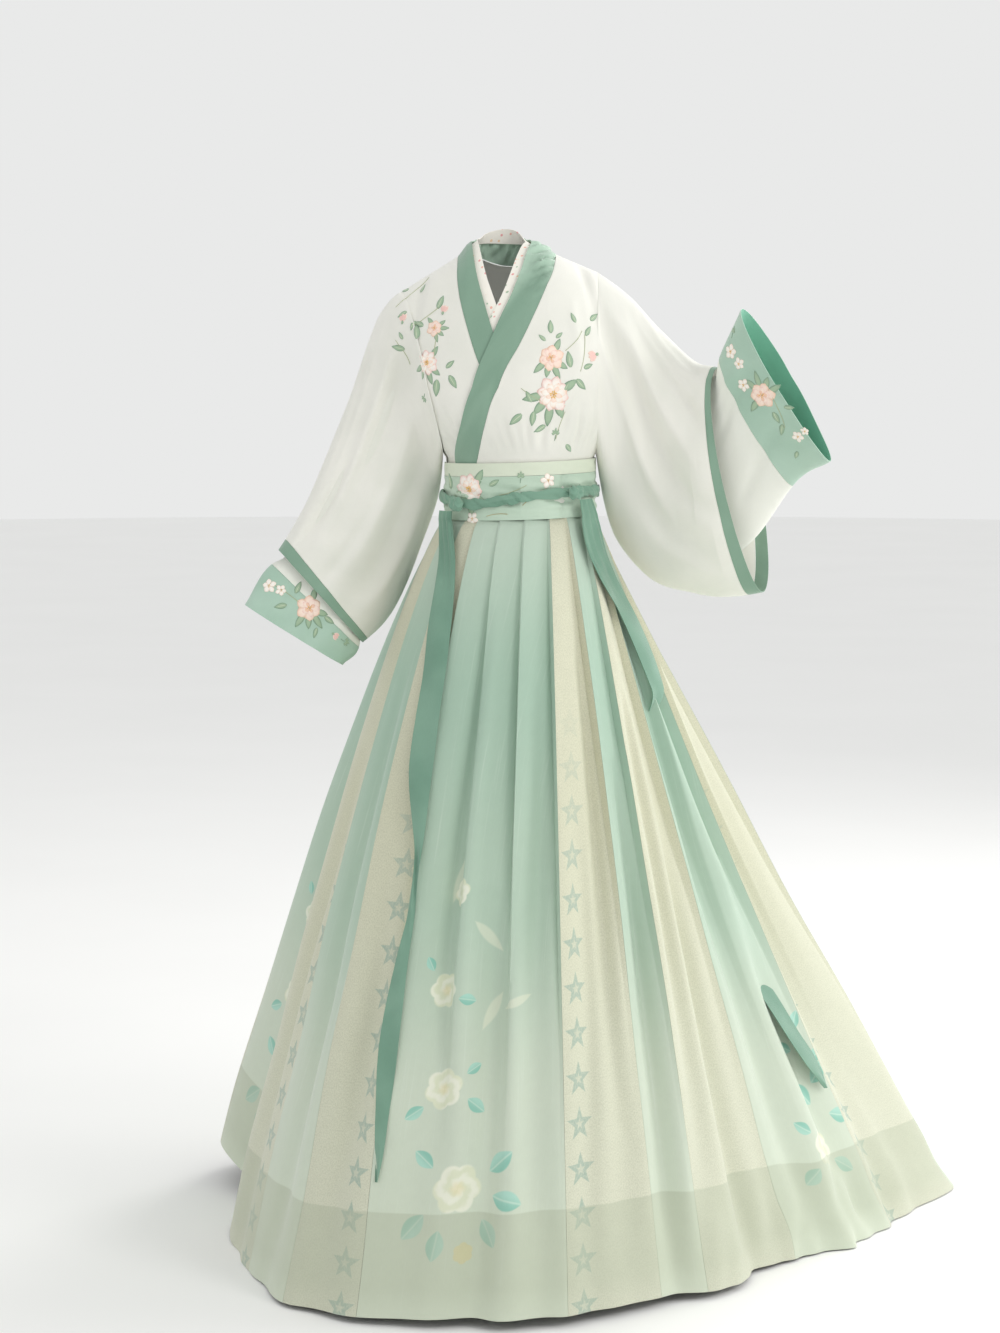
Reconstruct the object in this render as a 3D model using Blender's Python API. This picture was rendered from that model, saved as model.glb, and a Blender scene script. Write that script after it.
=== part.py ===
"""Hanfu dress as it hangs on its wearer: a cross-collar robe with wide double sleeves,
an embroidered waistband with a sash, and a pleated skirt of sixteen panels.

Metres, +Z up. The front faces -Y and +X is the wearer's left. The tables give heights above
the floor that the hem brushes, and the model's origin is at the base of the neck.
"""
import math

import bmesh
import bpy
import numpy as np

# Levels above the floor
NAPE = 1.400
TUCK = 1.058
BUST = 1.220
WAIST_TOP = 1.118
WAIST_SEAM = 1.100
WAIST_BOTTOM = 1.040

# Cloth
ROBE_WALL = 0.0015
SKIRT_WALL = 0.0020
BAND_WALL = 0.0020
SEAM_GAP = 0.0004
LAYER = 0.0026

# Waist ellipse, its tilt and its place
WAIST_X = 0.028
WAIST_HALF_WIDTH = 0.105
WAIST_HALF_DEPTH = 0.085
WAIST_TILT = 0.030
WAIST_POINTS = 48

# Robe body, one row a level: 0 is the tucked edge, 1 the bust and 2 the shoulder ridge
BODY_COLUMNS = ("level", "middle_x", "half_width", "half_depth", "middle_y")
BODY_ROWS = (
    (0.000, 0.0280, 0.1022, 0.0822, 0.000),
    (0.259, 0.0280, 0.1022, 0.0822, 0.000),
    (0.389, 0.0275, 0.1024, 0.0826, 0.000),
    (0.432, 0.0270, 0.1060, 0.0860, 0.000),
    (0.691, 0.0180, 0.1370, 0.0990, -0.003),
    (1.000, 0.0080, 0.1600, 0.1060, -0.005),
    (1.500, 0.0030, 0.1650, 0.1070, -0.004),
    (2.000, 0.0000, 0.1650, 0.1070, 0.000),
)
BODY_LEVELS = (0.0, 0.2, 0.389, 0.432, 0.52, 0.64, 0.80, 1.0, 1.167, 1.333, 1.5, 1.667, 1.833, 2.0)
UNDERARM_LEVEL = 0.432
BODY_COLUMNS_COUNT = 11

# Levels and seams of the body
SHOULDER_LEVEL = 2.0
UNDERARM_X = 0.027
UNDERARM_HALF = 0.106
ARMHOLE_CURVE = 0.35
RIDGE_CLEAR_LEVEL = 0.003
SIDE_CLEAR_ANGLE = 0.15

# Shoulder ridge: height at the neck, and how far it drops towards each tip
RIDGE = 1.405
NECK_X = {"left": 0.0765, "right": -0.0575}
RIDGE_DROP = {"left": 0.42, "right": 0.62}
TIP_X = {"left": 0.134, "right": -0.138}
NECK_DIP_LEVEL = 1.70
NECK_DIP_CURVE = 0.8
BACK_SIDE_COLUMNS = 4
BACK_NECK_COLUMNS = 9

# Lapels: the seam with the collar and the collar's free edge, at each level
LAPEL_COLUMNS = ("level", "seam_x", "free_x")
LAPEL_ROWS = {
    "left": (
        (0.00, -0.042, -0.056),
        (0.30, -0.034, -0.060),
        (0.39, -0.031, -0.062),
        (0.70, -0.020, -0.053),
        (0.92, -0.009, -0.043),
        (1.07, 0.005, -0.032),
        (1.20, 0.026, -0.016),
        (1.33, 0.043, -0.001),
        (1.47, 0.058, 0.015),
        (1.64, 0.071, 0.028),
        (1.80, 0.0755, 0.037),
        (2.00, 0.0765, 0.046),
    ),
    "right": (
        (0.00, 0.076, 0.110),
        (0.39, 0.048, 0.080),
        (0.70, 0.020, 0.053),
        (0.92, -0.002, 0.034),
        (1.12, -0.030, 0.006),
        (1.25, -0.042, -0.008),
        (1.42, -0.053, -0.021),
        (1.60, -0.058, -0.031),
        (1.80, -0.058, -0.037),
        (2.00, -0.0575, -0.040),
    ),
}
COLLAR_STAND = 0.013
COLLAR_STAND_LEVEL = 1.55
COLLAR_RING_X = 0.004
COLLAR_RING_RADIUS = 0.040
COLLAR_BACK_HEIGHT = 1.424
COLLAR_BACK_START = 0.012
RIDGE_START = 0.012
UNDER_COLLAR_LEVEL = 1.25
UNDER_COLLAR_START = 0.80
UNDER_COLLAR_END = {"left": 1.32, "right": 1.50}
UNDER_COLLAR_WALL = 0.0012
UNDER_COLLAR_LAP = 0.78
COLLAR_STRIPS = 3

# Sleeves, one row a section from the armhole out: the section's top and bottom points, its
# half width, and the direction of that width in degrees from straight back towards +X
SLEEVE_COLUMNS = ("along", "top_x", "top_y", "top_z", "low_x", "low_y", "low_z", "half", "lean")
SLEEVE_ROWS = {
    "right": (
        (0.00, -0.138, 0.000, 1.362, -0.080, 0.005, 1.128, 0.070, 0),
        (0.20, -0.168, 0.000, 1.316, -0.086, 0.046, 1.070, 0.062, 4),
        (0.42, -0.2075, -0.005, 1.206, -0.114, 0.062, 0.985, 0.056, 8),
        (0.66, -0.250, -0.012, 1.100, -0.150, 0.055, 0.905, 0.050, 10),
        (0.93, -0.296, -0.020, 1.009, -0.186, 0.030, 0.866, 0.044, 8),
        (1.00, -0.306, -0.022, 0.994, -0.193, 0.022, 0.861, 0.042, 8),
    ),
    "left": (
        (0.00, 0.134, 0.000, 1.378, 0.133, 0.005, 1.128, 0.070, 0),
        (0.17, 0.176, -0.004, 1.345, 0.152, 0.040, 1.030, 0.066, 0),
        (0.38, 0.221, -0.014, 1.296, 0.208, 0.045, 0.953, 0.064, 8),
        (0.62, 0.262, -0.032, 1.257, 0.275, 0.025, 0.930, 0.062, 18),
        (0.93, 0.292, -0.050, 1.247, 0.347, -0.005, 0.931, 0.060, 30),
        (1.00, 0.2985, -0.054, 1.246, 0.366, -0.010, 0.935, 0.058, 31),
    ),
}
SLEEVE_BAND_START = 0.93
INNER_SLEEVE_ROWS = {
    "right": (
        (0.00, -0.1365, 0.000, 1.356, -0.0880, 0.004, 1.160, 0.052, 0),
        (0.18, -0.159, -0.001, 1.300, -0.104, 0.036, 1.105, 0.048, 4),
        (0.38, -0.199, -0.005, 1.196, -0.132, 0.050, 1.022, 0.042, 8),
        (0.58, -0.247, -0.012, 1.084, -0.165, 0.042, 0.937, 0.036, 10),
        (0.70, -0.278, -0.018, 1.020, -0.187, 0.026, 0.890, 0.033, 9),
        (0.76, -0.295, -0.021, 0.987, -0.195, 0.018, 0.874, 0.031, 8),
        (0.82, -0.315, -0.026, 0.975, -0.198, 0.012, 0.856, 0.030, 8),
        (1.00, -0.353, -0.036, 0.920, -0.219, -0.006, 0.832, 0.030, 8),
    ),
    "left": (
        (0.00, 0.1325, 0.000, 1.370, 0.1345, -0.004, 1.180, 0.044, 0),
        (0.16, 0.174, -0.004, 1.331, 0.162, 0.024, 1.082, 0.044, 0),
        (0.34, 0.223, -0.015, 1.282, 0.212, 0.036, 0.985, 0.046, 8),
        (0.52, 0.264, -0.033, 1.243, 0.278, 0.014, 0.968, 0.042, 18),
        (0.70, 0.2975, -0.054, 1.236, 0.352, -0.020, 1.010, 0.038, 28),
        (0.82, 0.3000, -0.078, 1.262, 0.400, -0.058, 1.085, 0.036, 30),
        (1.00, 0.324, -0.120, 1.325, 0.445, -0.112, 1.121, 0.035, 30),
    ),
}
CUFF_START = 0.82
ARMHOLE_GAP = 0.0009
INNER_ARMHOLE_RISE = 0.16
INNER_ARMHOLE_INSET = {"left": 0.0026, "right": 0.0055}
ARMHOLE_BLEND = 0.22
INNER_ARMHOLE_BLEND = 0.14
SLEEVE_ROWS_COUNT = 15
INNER_SLEEVE_ROWS_COUNT = 11
CUFF_ALONGS = (0.88, 0.94, 1.0)
PEAR = 0.16
FOLD_FADE = 0.7

# Soft folds down the sleeves: angle round the section, where they run, width and depth
FOLD_COLUMNS = ("angle", "end_angle", "start", "end", "width", "depth")
SLEEVE_FOLDS = {
    "right": (
        (238, 252, 0.10, 0.95, 13, 0.007),
        (286, 300, 0.05, 0.80, 12, 0.008),
        (322, 318, 0.25, 1.00, 11, 0.006),
        (62, 80, 0.10, 0.90, 13, 0.007),
        (118, 110, 0.20, 0.95, 14, 0.007),
    ),
    "left": (
        (300, 262, 0.04, 0.70, 12, 0.009),
        (326, 300, 0.18, 0.95, 11, 0.008),
        (250, 232, 0.15, 0.85, 13, 0.006),
        (58, 84, 0.10, 0.90, 13, 0.008),
        (112, 122, 0.15, 0.95, 14, 0.007),
    ),
}

# Skirt: hem curve about its own centre, angles from the front towards +X
HEM_X = 0.120
HEM_Y = 0.080
HEM_COLUMNS = ("angle", "reach", "lift", "ease")
HEM_ROWS = (
    (-180.0, 0.470, 0.004, 0.90),
    (-150.0, 0.520, 0.004, 0.86),
    (-131.0, 0.560, 0.012, 0.82),
    (-113.0, 0.600, 0.060, 0.80),
    (-101.5, 0.515, 0.020, 0.78),
    (-81.0, 0.510, 0.002, 0.78),
    (-49.0, 0.535, 0.006, 0.78),
    (-36.0, 0.522, 0.010, 0.78),
    (-22.0, 0.496, 0.014, 0.80),
    (-4.0, 0.431, 0.016, 0.82),
    (15.0, 0.383, 0.014, 0.86),
    (23.0, 0.370, 0.012, 0.88),
    (53.0, 0.335, 0.006, 0.98),
    (65.0, 0.356, 0.003, 1.02),
    (92.0, 0.470, 0.002, 1.04),
    (107.0, 0.588, 0.002, 1.04),
    (131.0, 0.567, 0.003, 1.00),
    (155.0, 0.500, 0.004, 0.94),
)
SKIRT_TOP = WAIST_BOTTOM - SEAM_GAP
SKIRT_LEVELS = (0.0, 0.02, 0.06, 0.12, 0.20, 0.29, 0.38, 0.48, 0.58, 0.68, 0.78, 0.87, 0.95, 1.0)

# Panels in order round the skirt from the wearer's right: where each starts at the waist and
# at the hem, in degrees from the front, and how many knife pleats it holds
PANEL_COLUMNS = ("waist_angle", "hem_angle", "pleats")
PANEL_ROWS = (
    (-80, -90, 1),
    (-62, -66, 1),
    (-46, -49, 1),
    (-34, -36, 3),
    (22, -4, 1),
    (37, 15, 1),
    (54, 26, 1),
    (68, 60, 2),
    (88, 88, 2),
    (108, 107, 2),
    (131, 126, 2),
    (156, 148, 2),
    (181, 172, 2),
    (206, 197, 2),
    (228, 224, 2),
    (250, 248, 2),
)
PLEAT_STEPS = (0.0, 0.35, 0.70, 0.93)
PLEAT_DEPTH_COLUMNS = ("level", "depth")
PLEAT_DEPTH_ROWS = ((0.0, 0.0030), (0.10, 0.0070), (0.34, 0.0115), (0.70, 0.0105), (1.0, 0.0070))
HEM_WAVES = 9
HEM_WAVE_DEPTH = 0.010
HEM_WAVE_START = 0.6

# Sash: wrap, knots and tails
SASH_LEVEL = 1.072
SASH_HEIGHT = 0.0150
SASH_THICKNESS = 0.0080
SASH_GATHERS = 22
SASH_PINCH = 0.08
SASH_WANDER = 0.003
SASH_SIDES = 8
SASH_CLEARANCE = 0.0005
KNOT_ANGLE = {"right": -47.0, "left": 39.0}
KNOT_SIZE = (0.0125, 0.0085, 0.0120)
KNOT_PINCH = 0.18
KNOT_PINCH_WIDTH = 0.3
KNOT_SEAT = 0.9
KNOT_GAP = 0.0001
KNOT_OUT = SASH_THICKNESS + KNOT_SEAT * KNOT_SIZE[1] + KNOT_GAP
TAIL_STAND_OFF = 0.0070
TAIL_GAP = 0.0002
TAIL_SECTIONS = 27
TAIL_LEAST_WIDTH = 0.002
TAIL_LEAVES_KNOT = (0.98, 1.05)
FRONT_ANGLES = np.linspace(-85, 100, 371)
TAIL_COLUMNS = ("height", "middle_x", "width")
TAIL_ROWS = {
    "right": (
        (1.070, -0.060, 0.014),
        (0.985, -0.068, 0.022),
        (0.890, -0.079, 0.028),
        (0.780, -0.094, 0.030),
        (0.715, -0.103, 0.030),
        (0.640, -0.106, 0.018),
        (0.590, -0.108, 0.008),
        (0.530, -0.115, 0.008),
        (0.460, -0.128, 0.016),
        (0.390, -0.140, 0.024),
        (0.330, -0.147, 0.024),
        (0.270, -0.153, 0.018),
        (0.215, -0.157, 0.012),
        (0.175, -0.161, 0.003),
    ),
    "left": (
        (1.070, 0.1045, 0.014),
        (1.010, 0.120, 0.021),
        (0.960, 0.142, 0.022),
        (0.900, 0.172, 0.022),
        (0.840, 0.200, 0.019),
        (0.770, 0.222, 0.012),
        (0.690, 0.252, 0.006),
        (0.600, 0.290, 0.006),
        (0.500, 0.332, 0.006),
        (0.430, 0.362, 0.010),
        (0.365, 0.385, 0.020),
        (0.305, 0.412, 0.020),
        (0.255, 0.440, 0.017),
        (0.215, 0.462, 0.003),
    ),
}

SHARP_ANGLE = 50

# Colours, roughness
FINISH = {
    "robe": ((0.86, 0.85, 0.80), 0.75),
    "lining": ((0.84, 0.84, 0.78), 0.75),
    "collar": ((0.20, 0.37, 0.27), 0.55),
    "print": ((0.82, 0.77, 0.68), 0.60),
    "cuff": ((0.39, 0.60, 0.48), 0.50),
    "waist": ((0.50, 0.69, 0.57), 0.50),
    "binding": ((0.70, 0.80, 0.70), 0.55),
    "cream": ((0.77, 0.74, 0.57), 0.70),
    "green": ((0.40, 0.58, 0.46), 0.65),
}


def column(names, rows, name):
    """One named column of a table."""
    return np.array([row[names.index(name)] for row in rows], float)


def smooth(at, keys, values):
    """Reads a column on a smooth curve through its rows."""
    slope = np.gradient(values, keys)
    i = np.clip(np.searchsorted(keys, at) - 1, 0, len(keys) - 2)
    step = keys[i + 1] - keys[i]
    f = (at - keys[i]) / step
    rise = values[i] * (1 + 2 * f) * (1 - f) ** 2 + slope[i] * step * f * (1 - f) ** 2
    return rise + values[i + 1] * f ** 2 * (3 - 2 * f) + slope[i + 1] * step * f ** 2 * (f - 1)


def read(at, names, rows, name):
    """A table's named column at the values of its first column."""
    return smooth(np.asarray(at, float), column(names, rows, names[0]), column(names, rows, name))


def step_up(value, low, high):
    """0 below low, 1 above high, and a soft rise between."""
    f = np.clip((np.asarray(value, float) - low) / (high - low), 0, 1)
    return f * f * (3 - 2 * f)


def points(x, y, z):
    """Three coordinates as one array of points."""
    return np.stack(np.broadcast_arrays(np.asarray(x, float), y, z), axis=-1)


def unit(vectors):
    """Vectors of length one."""
    return vectors / np.maximum(np.linalg.norm(vectors, axis=-1, keepdims=True), 1e-12)


def grid_normals(grid, around=False):
    """Normals of a grid of points, averaged from its faces; around joins the last column to the first."""
    cells = np.concatenate([grid, grid[:, :1]], axis=1) if around else grid
    across = cells[:-1, 1:] - cells[1:, :-1]
    down = cells[:-1, :-1] - cells[1:, 1:]
    face = unit(np.cross(across, down))
    if around:
        face = np.concatenate([face[:, -1:], face], axis=1)
    else:
        face = np.concatenate([face[:, :1], face, face[:, -1:]], axis=1)
    face = np.concatenate([face[:1], face, face[-1:]], axis=0)
    return unit(face[:-1, :-1] + face[1:, :-1] + face[:-1, 1:] + face[1:, 1:])


def material(name):
    """A plain finish from the FINISH table."""
    found = bpy.data.materials.get(name)
    if found:
        return found
    colour, roughness = FINISH[name]
    made = bpy.data.materials.new(name)
    made.use_nodes = True
    shader = made.node_tree.nodes["Principled BSDF"]
    shader.inputs["Base Color"].default_value = (*colour, 1)
    shader.inputs["Roughness"].default_value = roughness
    shader.inputs["Metallic"].default_value = 0.0
    return made


def add_piece(name, mesh_builder, finish):
    """Turns a bmesh, with heights above the floor, into a named object about the origin."""
    bmesh.ops.translate(mesh_builder, verts=mesh_builder.verts, vec=(0, 0, -NAPE))
    bmesh.ops.recalc_face_normals(mesh_builder, faces=mesh_builder.faces)
    mesh = bpy.data.meshes.new(name)
    mesh_builder.to_mesh(mesh)
    mesh_builder.free()
    mesh.materials.append(material(finish))
    mesh.shade_smooth()
    mesh.set_sharp_from_angle(angle=math.radians(SHARP_ANGLE))
    piece = bpy.data.objects.new(name, mesh)
    bpy.context.collection.objects.link(piece)
    return piece


def wall(name, outer, inner, finish, around=False):
    """A closed cloth wall between an outer and an inner grid of points."""
    builder = bmesh.new()
    rows, count = outer.shape[:2]
    skin = [[[builder.verts.new(p) for p in row] for row in grid] for grid in (outer, inner)]
    spans = range(count if around else count - 1)
    for grid in skin:
        for i in range(rows - 1):
            for j in spans:
                k = (j + 1) % count
                builder.faces.new((grid[i][j], grid[i][k], grid[i + 1][k], grid[i + 1][j]))
    for i in (0, rows - 1):
        for j in spans:
            k = (j + 1) % count
            builder.faces.new((skin[0][i][j], skin[0][i][k], skin[1][i][k], skin[1][i][j]))
    if not around:
        for j in (0, count - 1):
            for i in range(rows - 1):
                builder.faces.new((skin[0][i][j], skin[0][i + 1][j], skin[1][i + 1][j], skin[1][i][j]))
    return add_piece(name, builder, finish)


def ridge(x):
    """Height of the shoulder ridge at x."""
    left = RIDGE_DROP["left"] * np.maximum(x - NECK_X["left"] + RIDGE_START, 0)
    right = RIDGE_DROP["right"] * np.maximum(NECK_X["right"] + RIDGE_START - x, 0)
    return RIDGE - left - right


def body(angle, level):
    """A point of the robe's body: degrees from the front towards +X, and the level."""
    angle, level = np.broadcast_arrays(np.asarray(angle, float), np.asarray(level, float))
    middle_x, half, depth, middle_y = (read(level, BODY_COLUMNS, BODY_ROWS, n) for n in BODY_COLUMNS[1:])
    turn = np.radians(angle)
    over = np.maximum(level - 1, 0) * math.pi / 2
    x = middle_x + half * np.sin(turn)
    low_z = TUCK + (BUST - TUCK) * level
    z = np.where(level < 1, low_z, BUST + (ridge(x) - BUST) * np.sin(over))
    return points(x, middle_y - depth * np.cos(turn) * np.cos(over), z)


def body_normal(angle, level):
    """The outward direction of the robe's body."""
    reach = 0.4
    rise = 0.004
    across = body(angle + reach, level) - body(angle - reach, level)
    up = body(angle, level + rise) - body(angle, level - rise)
    return unit(np.cross(across, up))


def layer(angle, level, depth):
    """The body's point moved inwards by depth."""
    return body(angle, level) - body_normal(angle, level) * np.expand_dims(depth, -1)


def body_angle(x, level):
    """The angle at which the body's front reaches x."""
    middle_x, half = (read(level, BODY_COLUMNS, BODY_ROWS, n) for n in ("middle_x", "half_width"))
    return np.degrees(np.arcsin(np.clip((x - middle_x) / half, -1, 1)))


def edge_angle(side, level):
    """The angle of the side seam below the underarm, and of the armhole above it."""
    sign = 1 if side == "left" else -1
    level = np.asarray(level, float)
    underarm_x = UNDERARM_X + sign * UNDERARM_HALF
    even = np.clip((level - UNDERARM_LEVEL) / (SHOULDER_LEVEL - UNDERARM_LEVEL), 0, 1)
    rise = step_up(level, UNDERARM_LEVEL, SHOULDER_LEVEL) * ARMHOLE_CURVE + (1 - ARMHOLE_CURVE) * even
    x = underarm_x + (TIP_X[side] - underarm_x) * rise
    return np.where(level <= UNDERARM_LEVEL, sign * 90.0, body_angle(x, level))


def lapel_x(side, level, edge):
    """Where the collar's seam or free edge is at a level."""
    return read(level, LAPEL_COLUMNS, LAPEL_ROWS[side], edge)


def robe_front(side):
    """One front, from its side seam and armhole to the collar's seam."""
    sign = 1 if side == "left" else -1
    under = 0 if side == "left" else LAYER
    levels = np.array(BODY_LEVELS)
    levels[-1] -= RIDGE_CLEAR_LEVEL
    outer_angle = edge_angle(side, levels) - sign * SIDE_CLEAR_ANGLE
    seam_angle = body_angle(lapel_x(side, levels, "seam_x") + sign * SEAM_GAP / 2, levels)
    share = np.linspace(0, 1, BODY_COLUMNS_COUNT)
    angles = seam_angle[:, None] + (outer_angle - seam_angle)[:, None] * share[None, :]
    grid_levels = np.repeat(levels[:, None], BODY_COLUMNS_COUNT, axis=1)
    outer = layer(angles, grid_levels, np.full(angles.shape, under))
    inner = layer(angles, grid_levels, np.full(angles.shape, under + ROBE_WALL))
    wall("robe_front_" + side, outer, inner, "robe")


def back_shares():
    """Columns across the back, with one at each side of the neck."""
    right = body_angle(NECK_X["right"], SHOULDER_LEVEL) / edge_angle("right", SHOULDER_LEVEL)
    left = body_angle(NECK_X["left"], SHOULDER_LEVEL) / edge_angle("left", SHOULDER_LEVEL)
    outer_right = np.linspace(-1, -right, BACK_SIDE_COLUMNS + 1)[:-1]
    neck = np.linspace(-right, left, BACK_NECK_COLUMNS)
    outer_left = np.linspace(left, 1, BACK_SIDE_COLUMNS + 1)[1:]
    first = BACK_SIDE_COLUMNS
    return np.concatenate([outer_right, neck, outer_left]), (first, first + BACK_NECK_COLUMNS - 1)


def back_grid():
    """Angles and levels of the back, whose top edge dips behind the neck."""
    shares, (first, last) = back_shares()
    levels = np.array(BODY_LEVELS)
    right = edge_angle("right", levels) + SIDE_CLEAR_ANGLE
    left = edge_angle("left", levels) - SIDE_CLEAR_ANGLE
    angles = np.where(shares[None, :] < 0, -shares[None, :] * right[:, None], shares[None, :] * left[:, None])
    across = np.clip((shares - shares[first]) / (shares[last] - shares[first]), 0, 1)
    dip = (SHOULDER_LEVEL - NECK_DIP_LEVEL) * np.sin(across * math.pi) ** NECK_DIP_CURVE
    top = SHOULDER_LEVEL - RIDGE_CLEAR_LEVEL - dip
    raised = 1 + (levels[:, None] - 1) * (top[None, :] - 1)
    grid_levels = np.where(levels[:, None] > 1, raised, levels[:, None] + 0 * top[None, :])
    return 180.0 - angles, grid_levels


def robe_back():
    """The back, in one piece from side to side."""
    angles, levels = back_grid()
    outer = layer(angles, levels, np.zeros(angles.shape))
    inner = layer(angles, levels, np.full(angles.shape, ROBE_WALL))
    wall("robe_back", outer, inner, "robe")


def collar_front(side, low_level, first, last, depth):
    """Seam-side and free-side rows of a collar down its front, as a grid of three columns."""
    sign = 1 if side == "left" else -1
    levels = np.array([v for v in BODY_LEVELS if v >= low_level])
    seam = lapel_x(side, levels, "seam_x") - sign * SEAM_GAP / 2
    free = lapel_x(side, levels, "free_x")
    share = np.linspace(first, last, COLLAR_STRIPS + 1)
    x = seam[:, None] + (free - seam)[:, None] * share[None, :]
    grid_levels = np.repeat(levels[:, None], len(share), axis=1)
    angles = body_angle(x, grid_levels)
    stand = step_up(levels, COLLAR_STAND_LEVEL, SHOULDER_LEVEL)[:, None] * COLLAR_STAND * share[None, :]
    lift = points(0, 0, stand)
    normal = body_normal(angles, grid_levels)
    return body(angles, grid_levels) + lift - normal * depth, normal


def collar_back(first, last, depth):
    """The collar round the back of the neck, from the wearer's left to right."""
    angles, levels = back_grid()
    _, (start, end) = back_shares()
    seam = body(angles[-1, start:end + 1], levels[-1, start:end + 1])[::-1]
    reach = seam - np.array([COLLAR_RING_X, 0, 0])
    flat = unit(reach * np.array([1, 1, 0]))
    rise = np.sin(np.linspace(0, math.pi, len(seam)))
    ends = RIDGE + COLLAR_STAND
    free = flat * COLLAR_RING_RADIUS + np.array([COLLAR_RING_X, 0, 0])
    free[:, 2] = ends + (COLLAR_BACK_HEIGHT - ends) * rise
    for place, side in ((0, "left"), (-1, "right")):
        turn = body_angle(lapel_x(side, SHOULDER_LEVEL, "free_x"), SHOULDER_LEVEL)
        free[place] = body(turn, SHOULDER_LEVEL) + np.array([0, 0, COLLAR_STAND])
    share = np.linspace(first, last, COLLAR_STRIPS + 1)
    grid = seam[:, None] + (free - seam)[:, None] * share[None, :, None]
    normal = unit(np.cross(np.gradient(grid, axis=0), grid[:, -1:] - grid[:, :1] + 0 * grid))
    outward = np.sum(normal * flat[:, None], axis=-1, keepdims=True)
    normal = normal * np.where(outward < 0, -1, 1)
    return grid - normal * depth, normal


def collar(name, side, low_level, shares, depth, thickness, finish):
    """A collar band. The left one runs on round the neck, where it meets the right one."""
    grid, normal = collar_front(side, low_level, shares[0], shares[1], depth)
    if side == "left":
        back, back_normal = collar_back(max(shares[0], COLLAR_BACK_START), shares[1], depth)
        grid = np.concatenate([grid[:-1], back[:-1]])
        normal = np.concatenate([normal[:-1], back_normal[:-1]])
    wall(name, grid, grid - normal * thickness, finish)


def collars():
    """The green bands, and the narrow printed collar that shows inside them."""
    for side, under in (("left", 0), ("right", LAYER)):
        collar("collar_" + side, side, 0.0, (0.0, 1.0), under, BAND_WALL, "collar")
        shares = (UNDER_COLLAR_START, UNDER_COLLAR_END[side])
        depth = 2 * LAYER + under * UNDER_COLLAR_LAP
        collar("under_collar_" + side, side, UNDER_COLLAR_LEVEL, shares, depth, UNDER_COLLAR_WALL, "print")


def ellipse(angle, half_width, half_depth, z):
    """A point of the waist's ellipse, tilted a little to the wearer's left."""
    turn = np.radians(angle)
    x = WAIST_X + half_width * np.sin(turn)
    return points(x, -half_depth * np.cos(turn), z + WAIST_TILT * (x - WAIST_X))


def ring_wall(name, low, high, rows, finish):
    """A band of the waist between two heights."""
    angle = np.arange(WAIST_POINTS) * 360.0 / WAIST_POINTS
    heights = np.linspace(low, high, rows)
    outer = ellipse(angle[None, :], WAIST_HALF_WIDTH, WAIST_HALF_DEPTH, heights[:, None])
    half_width, half_depth = WAIST_HALF_WIDTH - BAND_WALL, WAIST_HALF_DEPTH - BAND_WALL
    inner = ellipse(angle[None, :], half_width, half_depth, heights[:, None])
    wall(name, outer, inner, finish, around=True)


def arm_angles(side):
    """Angles round a sleeve's section at which the armhole's own points lie."""
    levels = np.array([v for v in BODY_LEVELS if v >= UNDERARM_LEVEL])
    heights = body(edge_angle(side, levels), levels)[:, 2]
    share = (heights - heights[0]) / (heights[-1] - heights[0])
    turn = np.degrees(np.arccos(np.clip(2 * share - 1, -1, 1)))
    back = turn[::-1]
    front = 360 - turn[1:-1]
    levels_back = levels[::-1]
    return np.concatenate([back, front]), np.concatenate([levels_back, levels[1:-1]])


def armhole(side, levels, turn, inset):
    """The armhole's edge, front and back, moved a little outwards from the body."""
    sign = 1 if side == "left" else -1
    if inset:
        levels = levels + INNER_ARMHOLE_RISE * (SHOULDER_LEVEL - levels) / (SHOULDER_LEVEL - UNDERARM_LEVEL)
    angle = edge_angle(side, levels)
    angle = np.where(turn <= 180, sign * 180 - angle, angle)
    edge = layer(angle, levels, np.full(levels.shape, inset))
    return edge + np.array([sign * ARMHOLE_GAP, 0, 0])


def sleeve_grid(side, rows, alongs, inset, folds):
    """A sleeve's sections from the armhole out."""
    sign = 1 if side == "left" else -1
    turn, levels = arm_angles(side)
    first = armhole(side, levels, turn, inset)
    angle = np.radians(turn)
    grid = []
    for along in alongs:
        row = {n: float(read(along, SLEEVE_COLUMNS, rows, n)) for n in SLEEVE_COLUMNS[1:]}
        top = np.array([row["top_x"], row["top_y"], row["top_z"]])
        low = np.array([row["low_x"], row["low_y"], row["low_z"]])
        lean = math.radians(row["lean"]) * sign
        width = np.array([math.sin(lean), math.cos(lean), 0])
        centre, half = (top + low) / 2, (top - low) / 2
        swell = row["half"] * np.sin(angle) * (1 + PEAR * np.cos(angle))
        section = centre + half * np.cos(angle)[:, None] + width * swell[:, None]
        share = float(step_up(along, 0.0, INNER_ARMHOLE_BLEND if inset else ARMHOLE_BLEND))
        grid.append(first * (1 - share) + section * share)
    grid = np.array(grid)
    return grid - grid_normals(grid, True) * outward(grid) * troughs(turn, alongs, folds)[..., None]


def outward(grid):
    """1 where the grid's normals point away from its middle, else -1."""
    normal = grid_normals(grid, True)
    middle = grid.mean(axis=1, keepdims=True)
    return 1.0 if np.sum(normal * (grid - middle)) > 0 else -1.0


def troughs(turn, alongs, folds):
    """Depth of the soft folds at each angle and place along a sleeve."""
    turn, along = np.meshgrid(turn, alongs)
    depth = np.zeros(turn.shape)
    for row in folds:
        fold = dict(zip(FOLD_COLUMNS, row))
        run = np.clip((along - fold["start"]) / (fold["end"] - fold["start"]), 0, 1)
        path = fold["angle"] + (fold["end_angle"] - fold["angle"]) * run
        fade = np.sin(math.pi * run) ** FOLD_FADE
        away = (turn - path + 180) % 360 - 180
        depth += fold["depth"] * fade * np.exp(-(away / fold["width"]) ** 2)
    return depth


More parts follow.
